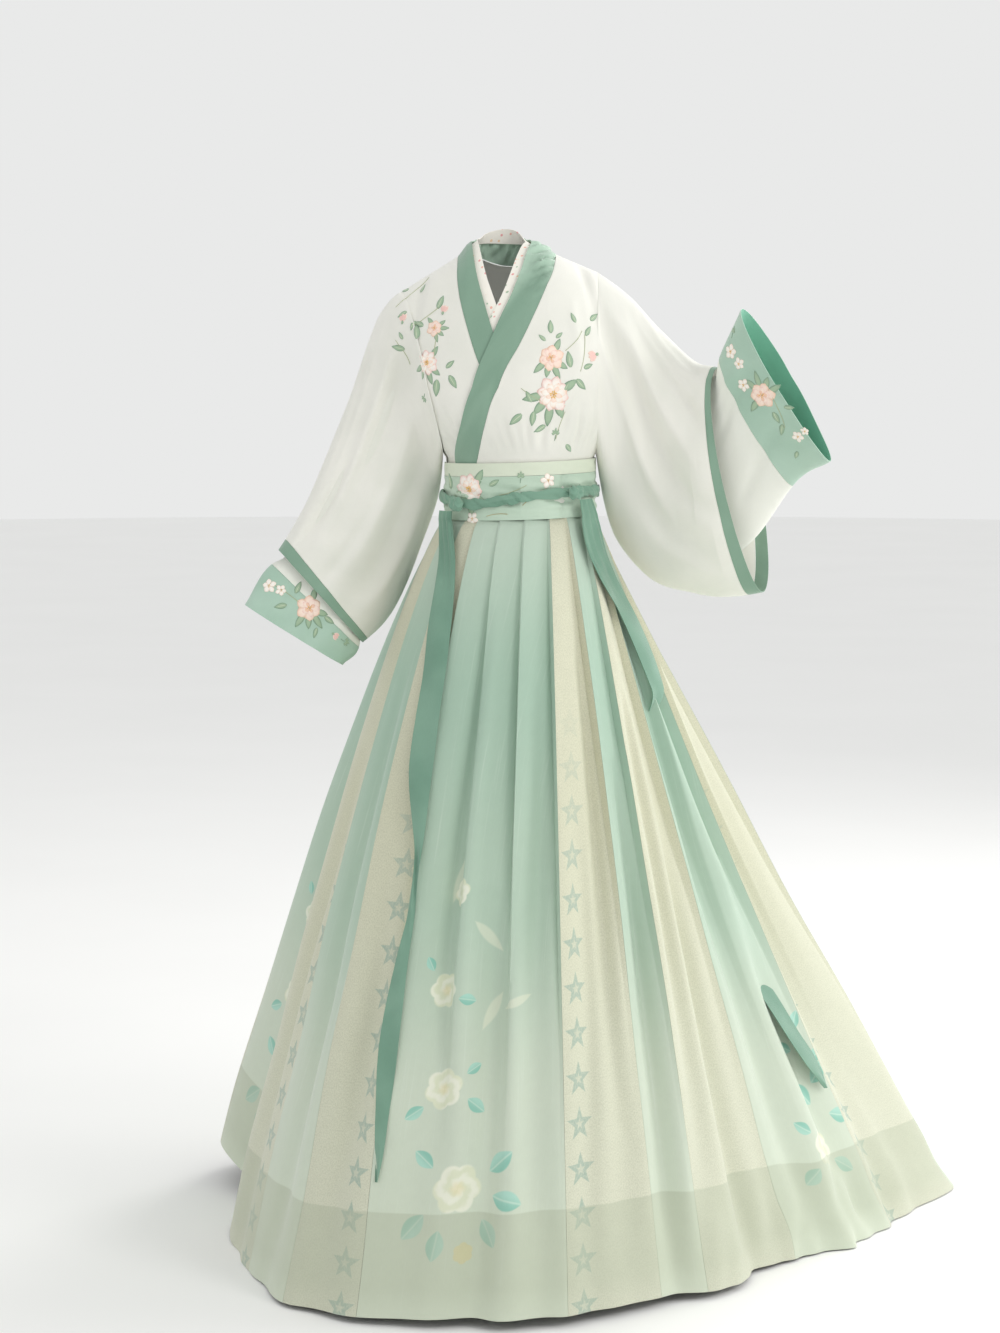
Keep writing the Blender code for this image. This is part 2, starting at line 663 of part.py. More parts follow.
def tube_parts(grid, alongs, split, names, finishes, thickness):
    """Cuts one tube of cloth into two pieces at a seam, both with the same wall."""
    normal = grid_normals(grid, True) * outward(grid)
    inner = grid - normal * thickness
    place = int(np.argmin(np.abs(np.array(alongs) - split)))
    run = unit(grid[place + 1] - grid[place]) * SEAM_GAP
    near = slice(0, place + 1)
    far = slice(place, len(alongs))
    wall(names[0], grid[near], inner[near], finishes[0], around=True)
    outer_far, inner_far = grid[far].copy(), inner[far].copy()
    outer_far[0] += run
    inner_far[0] += run
    wall(names[1], outer_far, inner_far, finishes[1], around=True)


def sleeves():
    """Outer sleeves with their bands, and the longer inner sleeves with their cuffs."""
    alongs = sorted(set(np.round(np.linspace(0, SLEEVE_BAND_START, SLEEVE_ROWS_COUNT), 4)) | {1.0})
    inner_sections = np.round(np.linspace(0, CUFF_START, INNER_SLEEVE_ROWS_COUNT), 4)
    inner_alongs = sorted(set(inner_sections) | set(CUFF_ALONGS))
    for side in ("right", "left"):
        grid = sleeve_grid(side, SLEEVE_ROWS[side], alongs, 0.0, SLEEVE_FOLDS[side])
        names = ("sleeve_" + side, "sleeve_band_" + side)
        tube_parts(grid, alongs, SLEEVE_BAND_START, names, ("robe", "collar"), ROBE_WALL)
        grid = sleeve_grid(side, INNER_SLEEVE_ROWS[side], inner_alongs, INNER_ARMHOLE_INSET[side], ())
        names = ("inner_sleeve_" + side, "cuff_" + side)
        tube_parts(grid, inner_alongs, CUFF_START, names, ("lining", "cuff"), ROBE_WALL)


def hem_column(angle, name):
    """A column of the hem's table, read all the way round."""
    keys = column(HEM_COLUMNS, HEM_ROWS, "angle")
    values = column(HEM_COLUMNS, HEM_ROWS, name)
    keys = np.concatenate([keys[-3:] - 360, keys, keys[:3] + 360])
    values = np.concatenate([values[-3:], values, values[:3]])
    return smooth((np.asarray(angle, float) + 180) % 360 - 180, keys, values)


def skirt(waist_angle, hem_angle, level, inward=0.0):
    """A point of the skirt: its angle at the waist and at the hem, and how far down it is."""
    turn = np.radians(hem_angle)
    reach = hem_column(hem_angle, "reach")
    reach = reach + HEM_WAVE_DEPTH * np.cos(HEM_WAVES * turn + HEM_WAVE_START)
    ease = hem_column(hem_angle, "ease")
    lift = hem_column(hem_angle, "lift")
    share = np.maximum(level, 1e-9) ** ease
    top = ellipse(waist_angle, WAIST_HALF_WIDTH, WAIST_HALF_DEPTH, SKIRT_TOP)
    low_x = HEM_X + reach * np.sin(turn)
    low_y = HEM_Y - reach * np.cos(turn)
    x = top[..., 0] * (1 - share) + low_x * share
    y = top[..., 1] * (1 - share) + low_y * share
    z = top[..., 2] + (lift - top[..., 2]) * level
    place = points(x, y, z)
    middle = points(WAIST_X + (HEM_X - WAIST_X) * share, HEM_Y * share, z)
    return place - unit(place - middle) * np.expand_dims(inward, -1)


def pleat_columns():
    """Waist angle, hem angle, fold depth and panel number of every column round the skirt."""
    rows = [dict(zip(PANEL_COLUMNS, row)) for row in PANEL_ROWS]
    rows.append({"waist_angle": rows[0]["waist_angle"] + 360, "hem_angle": rows[0]["hem_angle"] + 360})
    columns = []
    for number, (here, after) in enumerate(zip(rows[:-1], rows[1:])):
        for pleat in range(here["pleats"]):
            for step in PLEAT_STEPS:
                share = (pleat + step) / here["pleats"]
                waist = here["waist_angle"] + (after["waist_angle"] - here["waist_angle"]) * share
                hem = here["hem_angle"] + (after["hem_angle"] - here["hem_angle"]) * share
                columns.append((waist, hem, step / PLEAT_STEPS[-1], number))
    return np.array(columns)


def skirt_grid():
    """The whole skirt as one ring of columns, and which panel each column starts."""
    columns = pleat_columns()
    levels = np.array(SKIRT_LEVELS)
    depth = read(levels, PLEAT_DEPTH_COLUMNS, PLEAT_DEPTH_ROWS, "depth")
    inward = depth[:, None] * columns[None, :, 2]
    grid = skirt(columns[None, :, 0], columns[None, :, 1], levels[:, None], inward)
    return grid, columns[:, 3].astype(int)


def skirt_panels():
    """Sixteen panels, cream and green by turns, cut from the ring at their seams."""
    grid, panel = skirt_grid()
    normal = grid_normals(grid, True) * outward(grid)
    inner = grid - normal * SKIRT_WALL
    inner[0, :, 2] = grid[0, :, 2]
    count = grid.shape[1]
    for number in range(len(PANEL_ROWS)):
        first = int(np.argmax(panel == number))
        length = int(np.sum(panel == number))
        order = (np.arange(length + 1) + first) % count
        outer_part, inner_part = grid[:, order].copy(), inner[:, order].copy()
        along = unit(outer_part[:, -1] - outer_part[:, -2])
        outer_part[:, -1] -= along * SEAM_GAP
        inner_part[:, -1] -= along * SEAM_GAP
        finish = "cream" if number % 2 == 0 else "green"
        wall("skirt_panel_%02d" % (number + 1), outer_part, inner_part, finish)


def sash_level(turn):
    """Height of the sash's middle, which winds a little up and down round the waist."""
    return SASH_LEVEL + SASH_WANDER * np.sin(np.radians(turn) * 2)


def sash_wrap():
    """The gathered turn of the sash round the waistband."""
    count = 2 * SASH_GATHERS
    turn = np.arange(count) * 360.0 / count
    grid = []
    for k in range(SASH_SIDES):
        round_angle = 2 * math.pi * k / SASH_SIDES
        pinch = 1 - SASH_PINCH * (np.arange(count) % 2)
        out = SASH_THICKNESS / 2 * (1 + math.cos(round_angle)) * pinch + SASH_CLEARANCE
        up = SASH_HEIGHT / 2 * math.sin(round_angle) * pinch
        height = sash_level(turn) + up
        grid.append(ellipse(turn, WAIST_HALF_WIDTH + out, WAIST_HALF_DEPTH + out, height))
    builder = bmesh.new()
    rings = [[builder.verts.new(p) for p in ring] for ring in np.array(grid)]
    for k in range(SASH_SIDES):
        for j in range(count):
            a, b = rings[k], rings[(k + 1) % SASH_SIDES]
            builder.faces.new((a[j], a[(j + 1) % count], b[(j + 1) % count], b[j]))
    add_piece("sash_wrap", builder, "collar")


def knot_place(side):
    """Where a knot sits: just outside the wrap."""
    turn = KNOT_ANGLE[side]
    return ellipse(turn, WAIST_HALF_WIDTH + KNOT_OUT, WAIST_HALF_DEPTH + KNOT_OUT, sash_level(turn))


def knot(side):
    """A tied knot: a soft lump, pinched across its middle."""
    builder = bmesh.new()
    bmesh.ops.create_icosphere(builder, subdivisions=2, radius=1.0)
    turn = math.radians(KNOT_ANGLE[side])
    across = np.array([math.cos(turn), math.sin(turn), 0])
    out = np.array([math.sin(turn), -math.cos(turn), 0])
    place = knot_place(side)
    for vert in builder.verts:
        u, v, w = vert.co
        pinch = 1 - KNOT_PINCH * math.exp(-(u / KNOT_PINCH_WIDTH) ** 2)
        vert.co = place + across * u * KNOT_SIZE[0] + out * v * KNOT_SIZE[1] * pinch \
            + np.array([0, 0, 1]) * w * KNOT_SIZE[2] * pinch
    add_piece("sash_knot_" + side, builder, "collar")


def front_surface(x, z, stand_off):
    """The point of the skirt's or waist's smooth front at x and z, moved outwards."""
    columns = pleat_columns()
    waist, hem = columns[:, 0], columns[:, 1]
    if z > SKIRT_TOP:
        angle = math.degrees(math.asin(max(-1, min(1, (x - WAIST_X) / WAIST_HALF_WIDTH))))
        return ellipse(angle, WAIST_HALF_WIDTH + stand_off, WAIST_HALF_DEPTH + stand_off, z)
    hems = np.interp(FRONT_ANGLES, waist, hem)
    level = (SKIRT_TOP - z) / SKIRT_TOP
    line = skirt(FRONT_ANGLES, hems, np.full(FRONT_ANGLES.shape, level))
    here = np.interp(x, line[:, 0], np.arange(len(FRONT_ANGLES)))
    low = min(int(here), len(FRONT_ANGLES) - 2)
    place = line[low] + (line[low + 1] - line[low]) * (here - low)
    ahead = unit(line[low + 1] - line[low])
    out = unit(np.array([ahead[1], -ahead[0], 0]))
    return place + out * stand_off


def sash_tail(side):
    """A tail of the sash, hanging down the skirt from its knot."""
    rows = TAIL_ROWS[side]
    top = float(sash_level(KNOT_ANGLE[side])) - KNOT_SIZE[2] * (1 - KNOT_PINCH) - TAIL_GAP
    heights = np.linspace(top, rows[-1][0], TAIL_SECTIONS)
    order = rows[::-1]
    outer, inner = [], []
    for z in heights:
        middle = float(read(z, TAIL_COLUMNS, order, "middle_x"))
        width = max(float(read(z, TAIL_COLUMNS, order, "width")), TAIL_LEAST_WIDTH)
        near = float(step_up(z, *TAIL_LEAVES_KNOT))
        stand = TAIL_STAND_OFF + near * (KNOT_OUT + SKIRT_WALL / 2 - TAIL_STAND_OFF)
        edge = [front_surface(middle + width * f, z, stand) for f in (-0.5, 0.0, 0.5)]
        back = [front_surface(middle + width * f, z, stand - SKIRT_WALL) for f in (-0.5, 0.0, 0.5)]
        outer.append(edge)
        inner.append(back)
    wall("sash_tail_" + side, np.array(outer), np.array(inner), "collar")


def main():
    for thing in list(bpy.data.objects):
        bpy.data.objects.remove(thing)
    robe_back()
    robe_front("right")
    robe_front("left")
    collars()
    ring_wall("waistband", WAIST_BOTTOM, WAIST_SEAM - SEAM_GAP, 3, "waist")
    ring_wall("waistband_binding", WAIST_SEAM, WAIST_TOP, 2, "binding")
    sleeves()
    skirt_panels()
    sash_wrap()
    for side in ("right", "left"):
        knot(side)
        sash_tail(side)


main()
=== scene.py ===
"""Looks of the hanfu dress: thin cloth with its folds and pleats, embroidery, stitching,
printed panels, and the light it stands in.

The frame gives the construction. The tables below repeat its driving sizes, as heights above
the floor, and each sheet is made on its solid's own form with finer folds.
"""

import math

import bpy
import numpy as np
from mathutils.kdtree import KDTree
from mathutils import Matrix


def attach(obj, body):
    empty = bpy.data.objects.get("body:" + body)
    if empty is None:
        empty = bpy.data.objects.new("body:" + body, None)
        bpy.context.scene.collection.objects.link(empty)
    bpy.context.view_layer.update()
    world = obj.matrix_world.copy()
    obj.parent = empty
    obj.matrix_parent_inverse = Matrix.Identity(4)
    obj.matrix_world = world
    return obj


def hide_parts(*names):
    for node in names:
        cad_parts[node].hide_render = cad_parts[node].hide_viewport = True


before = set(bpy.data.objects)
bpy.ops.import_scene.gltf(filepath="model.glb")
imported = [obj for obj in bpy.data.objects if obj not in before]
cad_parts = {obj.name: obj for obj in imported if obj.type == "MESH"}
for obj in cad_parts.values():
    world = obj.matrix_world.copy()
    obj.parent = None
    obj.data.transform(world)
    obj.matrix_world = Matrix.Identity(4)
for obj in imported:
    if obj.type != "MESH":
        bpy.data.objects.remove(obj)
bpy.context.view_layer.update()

# Levels above the floor, and the origin's height
NAPE = 1.400
TUCK = 1.058
BUST = 1.220
WAIST_TOP = 1.118
WAIST_SEAM = 1.100
WAIST_BOTTOM = 1.040

# Cloth: seams and layers as in the solids, with thinner walls
ROBE_WALL = 0.0009
UNDER_ENDS = (1.30, 1.72)
SKIRT_WALL = 0.0010
BAND_WALL = 0.0014
SEAM_GAP = 0.0004
LAYER = 0.0026

# Waist ellipse, its tilt and its place
WAIST_X = 0.028
WAIST_HALF_WIDTH = 0.105
WAIST_HALF_DEPTH = 0.085
WAIST_TILT = 0.030

# Robe body, one row a level: 0 is the tucked edge, 1 the bust and 2 the shoulder ridge
BODY_COLUMNS = ("level", "middle_x", "half_width", "half_depth", "middle_y")
BODY_ROWS = (
    (0.000, 0.0280, 0.1022, 0.0822, 0.000),
    (0.259, 0.0280, 0.1022, 0.0822, 0.000),
    (0.389, 0.0275, 0.1024, 0.0826, 0.000),
    (0.432, 0.0270, 0.1060, 0.0860, 0.000),
    (0.691, 0.0180, 0.1370, 0.0990, -0.003),
    (1.000, 0.0080, 0.1600, 0.1060, -0.005),
    (1.500, 0.0030, 0.1650, 0.1070, -0.004),
    (2.000, 0.0000, 0.1650, 0.1070, 0.000),
)
SHOULDER_LEVEL = 2.0
UNDERARM_LEVEL = 0.432
UNDERARM_X = 0.027
UNDERARM_HALF = 0.106
ARMHOLE_CURVE = 0.35
RIDGE_CLEAR_LEVEL = 0.0004
SIDE_CLEAR_ANGLE = 0.02
BODY_LEVELS = np.concatenate([np.linspace(0.0, 0.389, 6), np.linspace(0.40, 0.52, 8),
                              np.linspace(0.54, SHOULDER_LEVEL, 74)])
FRONT_COLUMNS = 64
BACK_SIDE_COLUMNS = 22
BACK_NECK_COLUMNS = 45

# Shoulder ridge: height at the neck, and how far it drops towards each tip
RIDGE = 1.405
NECK_X = {"left": 0.0765, "right": -0.0575}
RIDGE_DROP = {"left": 0.42, "right": 0.62}
TIP_X = {"left": 0.134, "right": -0.138}
RIDGE_START = 0.012
NECK_DIP_LEVEL = 1.70
NECK_DIP_CURVE = 0.8

# Lapels: the seam with the collar and the collar's free edge, at each level
LAPEL_COLUMNS = ("level", "seam_x", "free_x")
LAPEL_ROWS = {
    "left": (
        (0.00, -0.042, -0.056),
        (0.30, -0.034, -0.060),
        (0.39, -0.031, -0.062),
        (0.70, -0.020, -0.053),
        (0.92, -0.009, -0.043),
        (1.07, 0.005, -0.032),
        (1.20, 0.026, -0.016),
        (1.33, 0.043, -0.001),
        (1.47, 0.058, 0.015),
        (1.64, 0.071, 0.028),
        (1.80, 0.0755, 0.037),
        (2.00, 0.0765, 0.046),
    ),
    "right": (
        (0.00, 0.076, 0.110),
        (0.39, 0.048, 0.080),
        (0.70, 0.020, 0.053),
        (0.92, -0.002, 0.034),
        (1.12, -0.030, 0.006),
        (1.25, -0.042, -0.008),
        (1.42, -0.053, -0.021),
        (1.60, -0.058, -0.031),
        (1.80, -0.058, -0.037),
        (2.00, -0.0575, -0.040),
    ),
}
COLLAR_STAND = 0.013
COLLAR_STAND_LEVEL = 1.55
COLLAR_RING_X = 0.004
COLLAR_RING_RADIUS = 0.040
COLLAR_BACK_HEIGHT = 1.424
COLLAR_BACK_START = 0.012
COLLAR_STRIPS = 12
UNDER_COLLAR_LEVEL = 1.25
UNDER_COLLAR_START = 0.80
UNDER_COLLAR_END = {"left": 1.32, "right": 1.50}
UNDER_COLLAR_WALL = 0.0010
UNDER_COLLAR_LAP = 0.78

# Sleeves, one row a section from the armhole out: the section's top and bottom points, its
# half width, and the direction of that width in degrees from straight back towards +X
SLEEVE_COLUMNS = ("along", "top_x", "top_y", "top_z", "low_x", "low_y", "low_z", "half", "lean")
SLEEVE_ROWS = {
    "right": (
        (0.00, -0.138, 0.000, 1.362, -0.080, 0.005, 1.128, 0.070, 0),
        (0.20, -0.168, 0.000, 1.316, -0.086, 0.046, 1.070, 0.062, 4),
        (0.42, -0.2075, -0.005, 1.206, -0.114, 0.062, 0.985, 0.056, 8),
        (0.66, -0.250, -0.012, 1.100, -0.150, 0.055, 0.905, 0.050, 10),
        (0.93, -0.296, -0.020, 1.009, -0.186, 0.030, 0.866, 0.044, 8),
        (1.00, -0.306, -0.022, 0.994, -0.193, 0.022, 0.861, 0.042, 8),
    ),
    "left": (
        (0.00, 0.134, 0.000, 1.378, 0.133, 0.005, 1.128, 0.070, 0),
        (0.17, 0.176, -0.004, 1.345, 0.152, 0.040, 1.030, 0.066, 0),
        (0.38, 0.221, -0.014, 1.296, 0.208, 0.045, 0.953, 0.064, 8),
        (0.62, 0.262, -0.032, 1.257, 0.275, 0.025, 0.930, 0.062, 18),
        (0.93, 0.292, -0.050, 1.247, 0.347, -0.005, 0.931, 0.060, 30),
        (1.00, 0.2985, -0.054, 1.246, 0.366, -0.010, 0.935, 0.058, 31),
    ),
}
INNER_SLEEVE_ROWS = {
    "right": (
        (0.00, -0.1365, 0.000, 1.356, -0.0880, 0.004, 1.160, 0.052, 0),
        (0.18, -0.159, -0.001, 1.300, -0.104, 0.036, 1.105, 0.048, 4),
        (0.38, -0.199, -0.005, 1.196, -0.132, 0.050, 1.022, 0.042, 8),
        (0.58, -0.247, -0.012, 1.084, -0.165, 0.042, 0.937, 0.036, 10),
        (0.70, -0.278, -0.018, 1.020, -0.187, 0.026, 0.890, 0.033, 9),
        (0.76, -0.295, -0.021, 0.987, -0.195, 0.018, 0.874, 0.031, 8),
        (0.82, -0.315, -0.026, 0.975, -0.198, 0.012, 0.856, 0.030, 8),
        (1.00, -0.353, -0.036, 0.920, -0.219, -0.006, 0.832, 0.030, 8),
    ),
    "left": (
        (0.00, 0.1325, 0.000, 1.370, 0.1345, -0.004, 1.180, 0.044, 0),
        (0.16, 0.174, -0.004, 1.331, 0.162, 0.024, 1.082, 0.044, 0),
        (0.34, 0.223, -0.015, 1.282, 0.212, 0.036, 0.985, 0.046, 8),
        (0.52, 0.264, -0.033, 1.243, 0.278, 0.014, 0.968, 0.042, 18),
        (0.70, 0.2975, -0.054, 1.236, 0.352, -0.020, 1.010, 0.038, 28),
        (0.82, 0.3000, -0.078, 1.262, 0.400, -0.058, 1.085, 0.036, 30),
        (1.00, 0.324, -0.120, 1.325, 0.445, -0.112, 1.121, 0.035, 30),
    ),
}
SLEEVE_BAND_START = 0.93
CUFF_START = 0.82
ARMHOLE_GAP = -0.0005
INNER_ARMHOLE_RISE = 0.16
INNER_ARMHOLE_INSET = {"left": 0.0026, "right": 0.0055}
ARMHOLE_BLEND = 0.22
INNER_ARMHOLE_BLEND = 0.14
SLEEVE_AROUND = 128
SLEEVE_SECTIONS = 86
INNER_SLEEVE_SECTIONS = 62
BAND_SECTIONS = 9
CUFF_SECTIONS = 30
PEAR = 0.16
FOLD_FADE = 0.7
SLEEVE_FOLD_GAIN = 1.35

# Folds down the sleeves: angle round the section, where they run, width and depth. A depth
# below zero is a ridge. The first five of each are the solid's own, the rest are finer.
FOLD_COLUMNS = ("angle", "end_angle", "start", "end", "width", "depth")
SLEEVE_FOLDS = {
    "right": (
        (238, 252, 0.10, 0.95, 13, 0.007),
        (286, 300, 0.05, 0.80, 12, 0.008),
        (322, 318, 0.25, 1.00, 11, 0.006),
        (62, 80, 0.10, 0.90, 13, 0.007),
        (118, 110, 0.20, 0.95, 14, 0.007),
        (262, 274, 0.12, 0.88, 6.0, -0.0028),
        (270, 285, 0.35, 1.05, 5.5, 0.0026),
        (304, 309, 0.10, 0.62, 5.0, -0.0024),
        (310, 331, 0.45, 0.98, 5.0, 0.0024),
        (222, 236, 0.30, 0.85, 5.0, -0.0020),
        (340, 334, 0.18, 0.70, 5.5, 0.0022),
        (90, 99, 0.15, 0.75, 6.0, -0.0026),
        (44, 60, 0.30, 0.95, 5.5, 0.0024),
        (136, 128, 0.20, 0.80, 6.0, -0.0024),
    ),
    "left": (
        (300, 262, 0.04, 0.70, 12, 0.009),
        (326, 300, 0.18, 0.95, 11, 0.008),
        (250, 232, 0.15, 0.85, 13, 0.006),
        (58, 84, 0.10, 0.90, 13, 0.008),
        (112, 122, 0.15, 0.95, 14, 0.007),
        (287, 246, 0.05, 0.55, 5.5, -0.0034),
        (314, 280, 0.10, 0.80, 5.5, -0.0030),
        (338, 318, 0.22, 0.98, 5.0, 0.0028),
        (270, 252, 0.40, 1.04, 5.5, 0.0028),
        (236, 215, 0.30, 0.90, 5.0, -0.0020),
        (345, 340, 0.35, 1.04, 4.5, 0.0022),
        (80, 101, 0.20, 0.80, 6.0, -0.0026),
        (35, 58, 0.30, 1.04, 5.5, 0.0026),
        (134, 146, 0.25, 0.90, 6.0, -0.0024),
    ),
}
INNER_SLEEVE_FOLDS = {
    "right": (
        (300, 290, 0.66, 1.05, 7, 0.0016),
        (250, 262, 0.70, 1.05, 8, 0.0018),
        (70, 80, 0.70, 1.05, 9, 0.0018),
    ),
    "left": (
        (236, 254, 0.70, 1.00, 7, 0.0026),
        (285, 292, 0.62, 0.98, 6, 0.0022),
        (312, 300, 0.66, 0.96, 6, -0.0018),
        (70, 84, 0.70, 1.05, 9, 0.0022),
    ),
}

# Creases on the robe's body: ends as angle and level, width and depth in metres
CREASE_COLUMNS = ("angle", "level", "end_angle", "end_level", "width", "depth")
ROBE_CREASES = {
    "robe_front_left": (
        (58, 0.44, 49, 1.06, 0.0085, 0.0034),
        (44, 0.44, 40, 0.92, 0.0070, 0.0028),
        (30, 0.45, 31, 0.86, 0.0065, 0.0022),
        (16, 0.45, 20, 0.80, 0.0060, 0.0018),
        (4, 0.45, 9, 0.74, 0.0055, 0.0016),
        (-8, 0.45, -5, 0.78, 0.0055, 0.0014),
        (67, 0.70, 50, 1.60, 0.0100, 0.0040),
        (52, 1.30, 40, 1.92, 0.0095, 0.0030),
        (40, 1.02, 34, 1.50, 0.0080, -0.0020),
        (24, 0.70, 38, 1.12, 0.0080, -0.0022),
        (78, 0.55, 70, 1.10, 0.0080, 0.0030),
    ),
    "robe_front_right": (
        (-52, 0.44, -44, 1.00, 0.0085, 0.0036),
        (-64, 0.46, -50, 1.18, 0.0080, 0.0030),
        (-44, 0.45, -38, 0.86, 0.0065, 0.0024),
        (-36, 0.45, -33, 0.76, 0.0055, 0.0018),
        (-70, 0.80, -56, 1.60, 0.0100, 0.0036),
        (-50, 1.30, -38, 1.90, 0.0095, 0.0028),
        (-58, 0.60, -46, 1.14, 0.0070, -0.0022),
        (-78, 0.55, -70, 1.10, 0.0080, 0.0030),
    ),
    "robe_back": (
        (120, 0.44, 134, 1.10, 0.0085, 0.0034),
        (138, 0.44, 146, 0.98, 0.0075, 0.0028),
        (156, 0.45, 158, 0.92, 0.0070, 0.0026),
        (176, 0.45, 172, 1.02, 0.0080, 0.0030),
        (196, 0.45, 200, 0.92, 0.0070, 0.0024),
        (214, 0.45, 208, 1.08, 0.0080, 0.0030),
        (234, 0.44, 224, 1.12, 0.0085, 0.0034),
        (126, 1.05, 140, 1.62, 0.0110, 0.0034),
        (236, 1.05, 220, 1.62, 0.0110, 0.0034),
        (166, 1.00, 178, 1.45, 0.0120, -0.0024),
        (196, 1.10, 186, 1.50, 0.0100, 0.0022),
    ),
}
BODY_RADIUS = 0.155
LEVEL_HEIGHT = 0.165
CREASE_SIDE_RIDGE = 0.35

# Skirt: hem curve about its own centre, angles from the front towards +X
HEM_X = 0.120
HEM_Y = 0.080
HEM_COLUMNS = ("angle", "reach", "lift", "ease")
HEM_ROWS = (
    (-180.0, 0.470, 0.004, 0.90),
    (-150.0, 0.520, 0.004, 0.86),
    (-131.0, 0.560, 0.012, 0.82),
    (-113.0, 0.600, 0.060, 0.80),
    (-101.5, 0.515, 0.020, 0.78),
    (-81.0, 0.510, 0.002, 0.78),
    (-49.0, 0.535, 0.006, 0.78),
    (-36.0, 0.522, 0.010, 0.78),
    (-22.0, 0.496, 0.014, 0.80),
    (-4.0, 0.431, 0.016, 0.82),
    (15.0, 0.383, 0.014, 0.86),
    (23.0, 0.370, 0.012, 0.88),
    (53.0, 0.335, 0.006, 0.98),
    (65.0, 0.356, 0.003, 1.02),
    (92.0, 0.470, 0.002, 1.04),
    (107.0, 0.588, 0.002, 1.04),
    (131.0, 0.567, 0.003, 1.00),
    (155.0, 0.500, 0.004, 0.94),
)
SKIRT_TOP = WAIST_BOTTOM - SEAM_GAP
SKIRT_LEVELS = np.concatenate([np.linspace(0.0, 0.10, 12)[:-1], np.linspace(0.10, 1.0, 104)])
HEM_WAVES = 9
HEM_WAVE_DEPTH = 0.010
HEM_WAVE_START = 0.6

# Panels in order round the skirt from the wearer's right: where each starts at the waist and
# at the hem, in degrees from the front, and how many knife pleats it holds
PANEL_COLUMNS = ("waist_angle", "hem_angle", "pleats")
PANEL_ROWS = (
    (-80, -90, 1),
    (-62, -66, 1),
    (-46, -49, 1),
    (-34, -36, 3),
    (22, -4, 1),
    (37, 15, 1),
    (54, 26, 1),
    (68, 60, 2),
    (88, 88, 2),
    (108, 107, 2),
    (131, 126, 2),
    (156, 148, 2),
    (181, 172, 2),
    (206, 197, 2),
    (228, 224, 2),
    (250, 248, 2),
)
PLEAT_STEPS = np.concatenate([np.linspace(0.0, 0.88, 19), [0.91, 0.93, 0.945, 0.96, 0.975, 0.99]])
PLEAT_EDGE = 0.93
PLEAT_OPENS = (0.24, 0.90)
PLEAT_DEPTH_COLUMNS = ("level", "depth")
PLEAT_DEPTH_ROWS = ((0.0, 0.0034), (0.10, 0.0090), (0.34, 0.0165), (0.62, 0.0150), (0.82, 0.0085), (1.0, 0.0050))
# Long soft folds in the skirt: hem angle, where they run down the skirt, width and depth
SKIRT_FOLD_COLUMNS = ("hem_angle", "start", "end", "width", "depth")
SKIRT_FOLDS = (
    (-78, 0.30, 1.05, 3.4, 0.0070),
    (-58, 0.18, 0.95, 2.6, 0.0060),
    (-44, 0.42, 1.10, 3.0, 0.0060),
    (-27, 0.10, 0.86, 2.2, 0.0065),
    (-19, 0.46, 1.08, 2.8, 0.0055),
    (-10, 0.20, 0.90, 2.4, 0.0050),
    (1, 0.34, 1.10, 2.6, 0.0055),
    (9, 0.16, 0.80, 2.2, 0.0050),
    (20, 0.30, 1.05, 2.8, 0.0080),
    (33, 0.22, 0.92, 3.6, 0.0085),
    (46, 0.44, 1.08, 4.0, 0.0075),
    (70, 0.24, 0.98, 4.0, 0.0080),
    (80, 0.50, 1.10, 3.4, 0.0060),
    (98, 0.20, 1.05, 3.6, 0.0075),
    (117, 0.30, 1.08, 3.4, 0.0070),
    (140, 0.16, 0.94, 3.6, 0.0075),
    (163, 0.34, 1.08, 3.6, 0.0070),
    (184, 0.20, 0.96, 3.8, 0.0075),
    (208, 0.36, 1.10, 3.6, 0.0070),
    (232, 0.22, 1.00, 3.4, 0.0075),
    (257, 0.34, 1.08, 3.2, 0.0070),
)

SKIRT_FOLD_GAIN = 1.9
HEAP_ANGLE = 78
HEAP_SPREAD = 34
HEAP_DEPTH = 0.009

# Sash: wrap, knots and tails
SASH_LEVEL = 1.072
SASH_HEIGHT = 0.0150
SASH_THICKNESS = 0.0080
SASH_WANDER = 0.003
SASH_DIP = 0.0065
SASH_DIP_ANGLE = -36
SASH_DIP_SPREAD = 26
SASH_CLEARANCE = 0.0005
SASH_TURNS = 640
SASH_SIDES = 40
KNOT_ANGLE = {"right": -47.0, "left": 39.0}
KNOT_SIZE = (0.0125, 0.0085, 0.0120)
KNOT_PINCH = 0.18
KNOT_PINCH_WIDTH = 0.3
KNOT_SEAT = 0.9
KNOT_GAP = 0.0001
KNOT_OUT = SASH_THICKNESS + KNOT_SEAT * KNOT_SIZE[1] + KNOT_GAP
TAIL_STAND_OFF = 0.0070
TAIL_WALL = 0.0012
TAIL_GAP = 0.0002
TAIL_HIDE = {"right": 0.0, "left": 0.034}
TAIL_SECTIONS = 150
TAIL_ACROSS = 13
TAIL_LEAST_WIDTH = 0.002
TAIL_LEAVES_KNOT = (0.98, 1.05)
FRONT_ANGLES = np.linspace(-85, 100, 371)
TAIL_COLUMNS = ("height", "middle_x", "width")
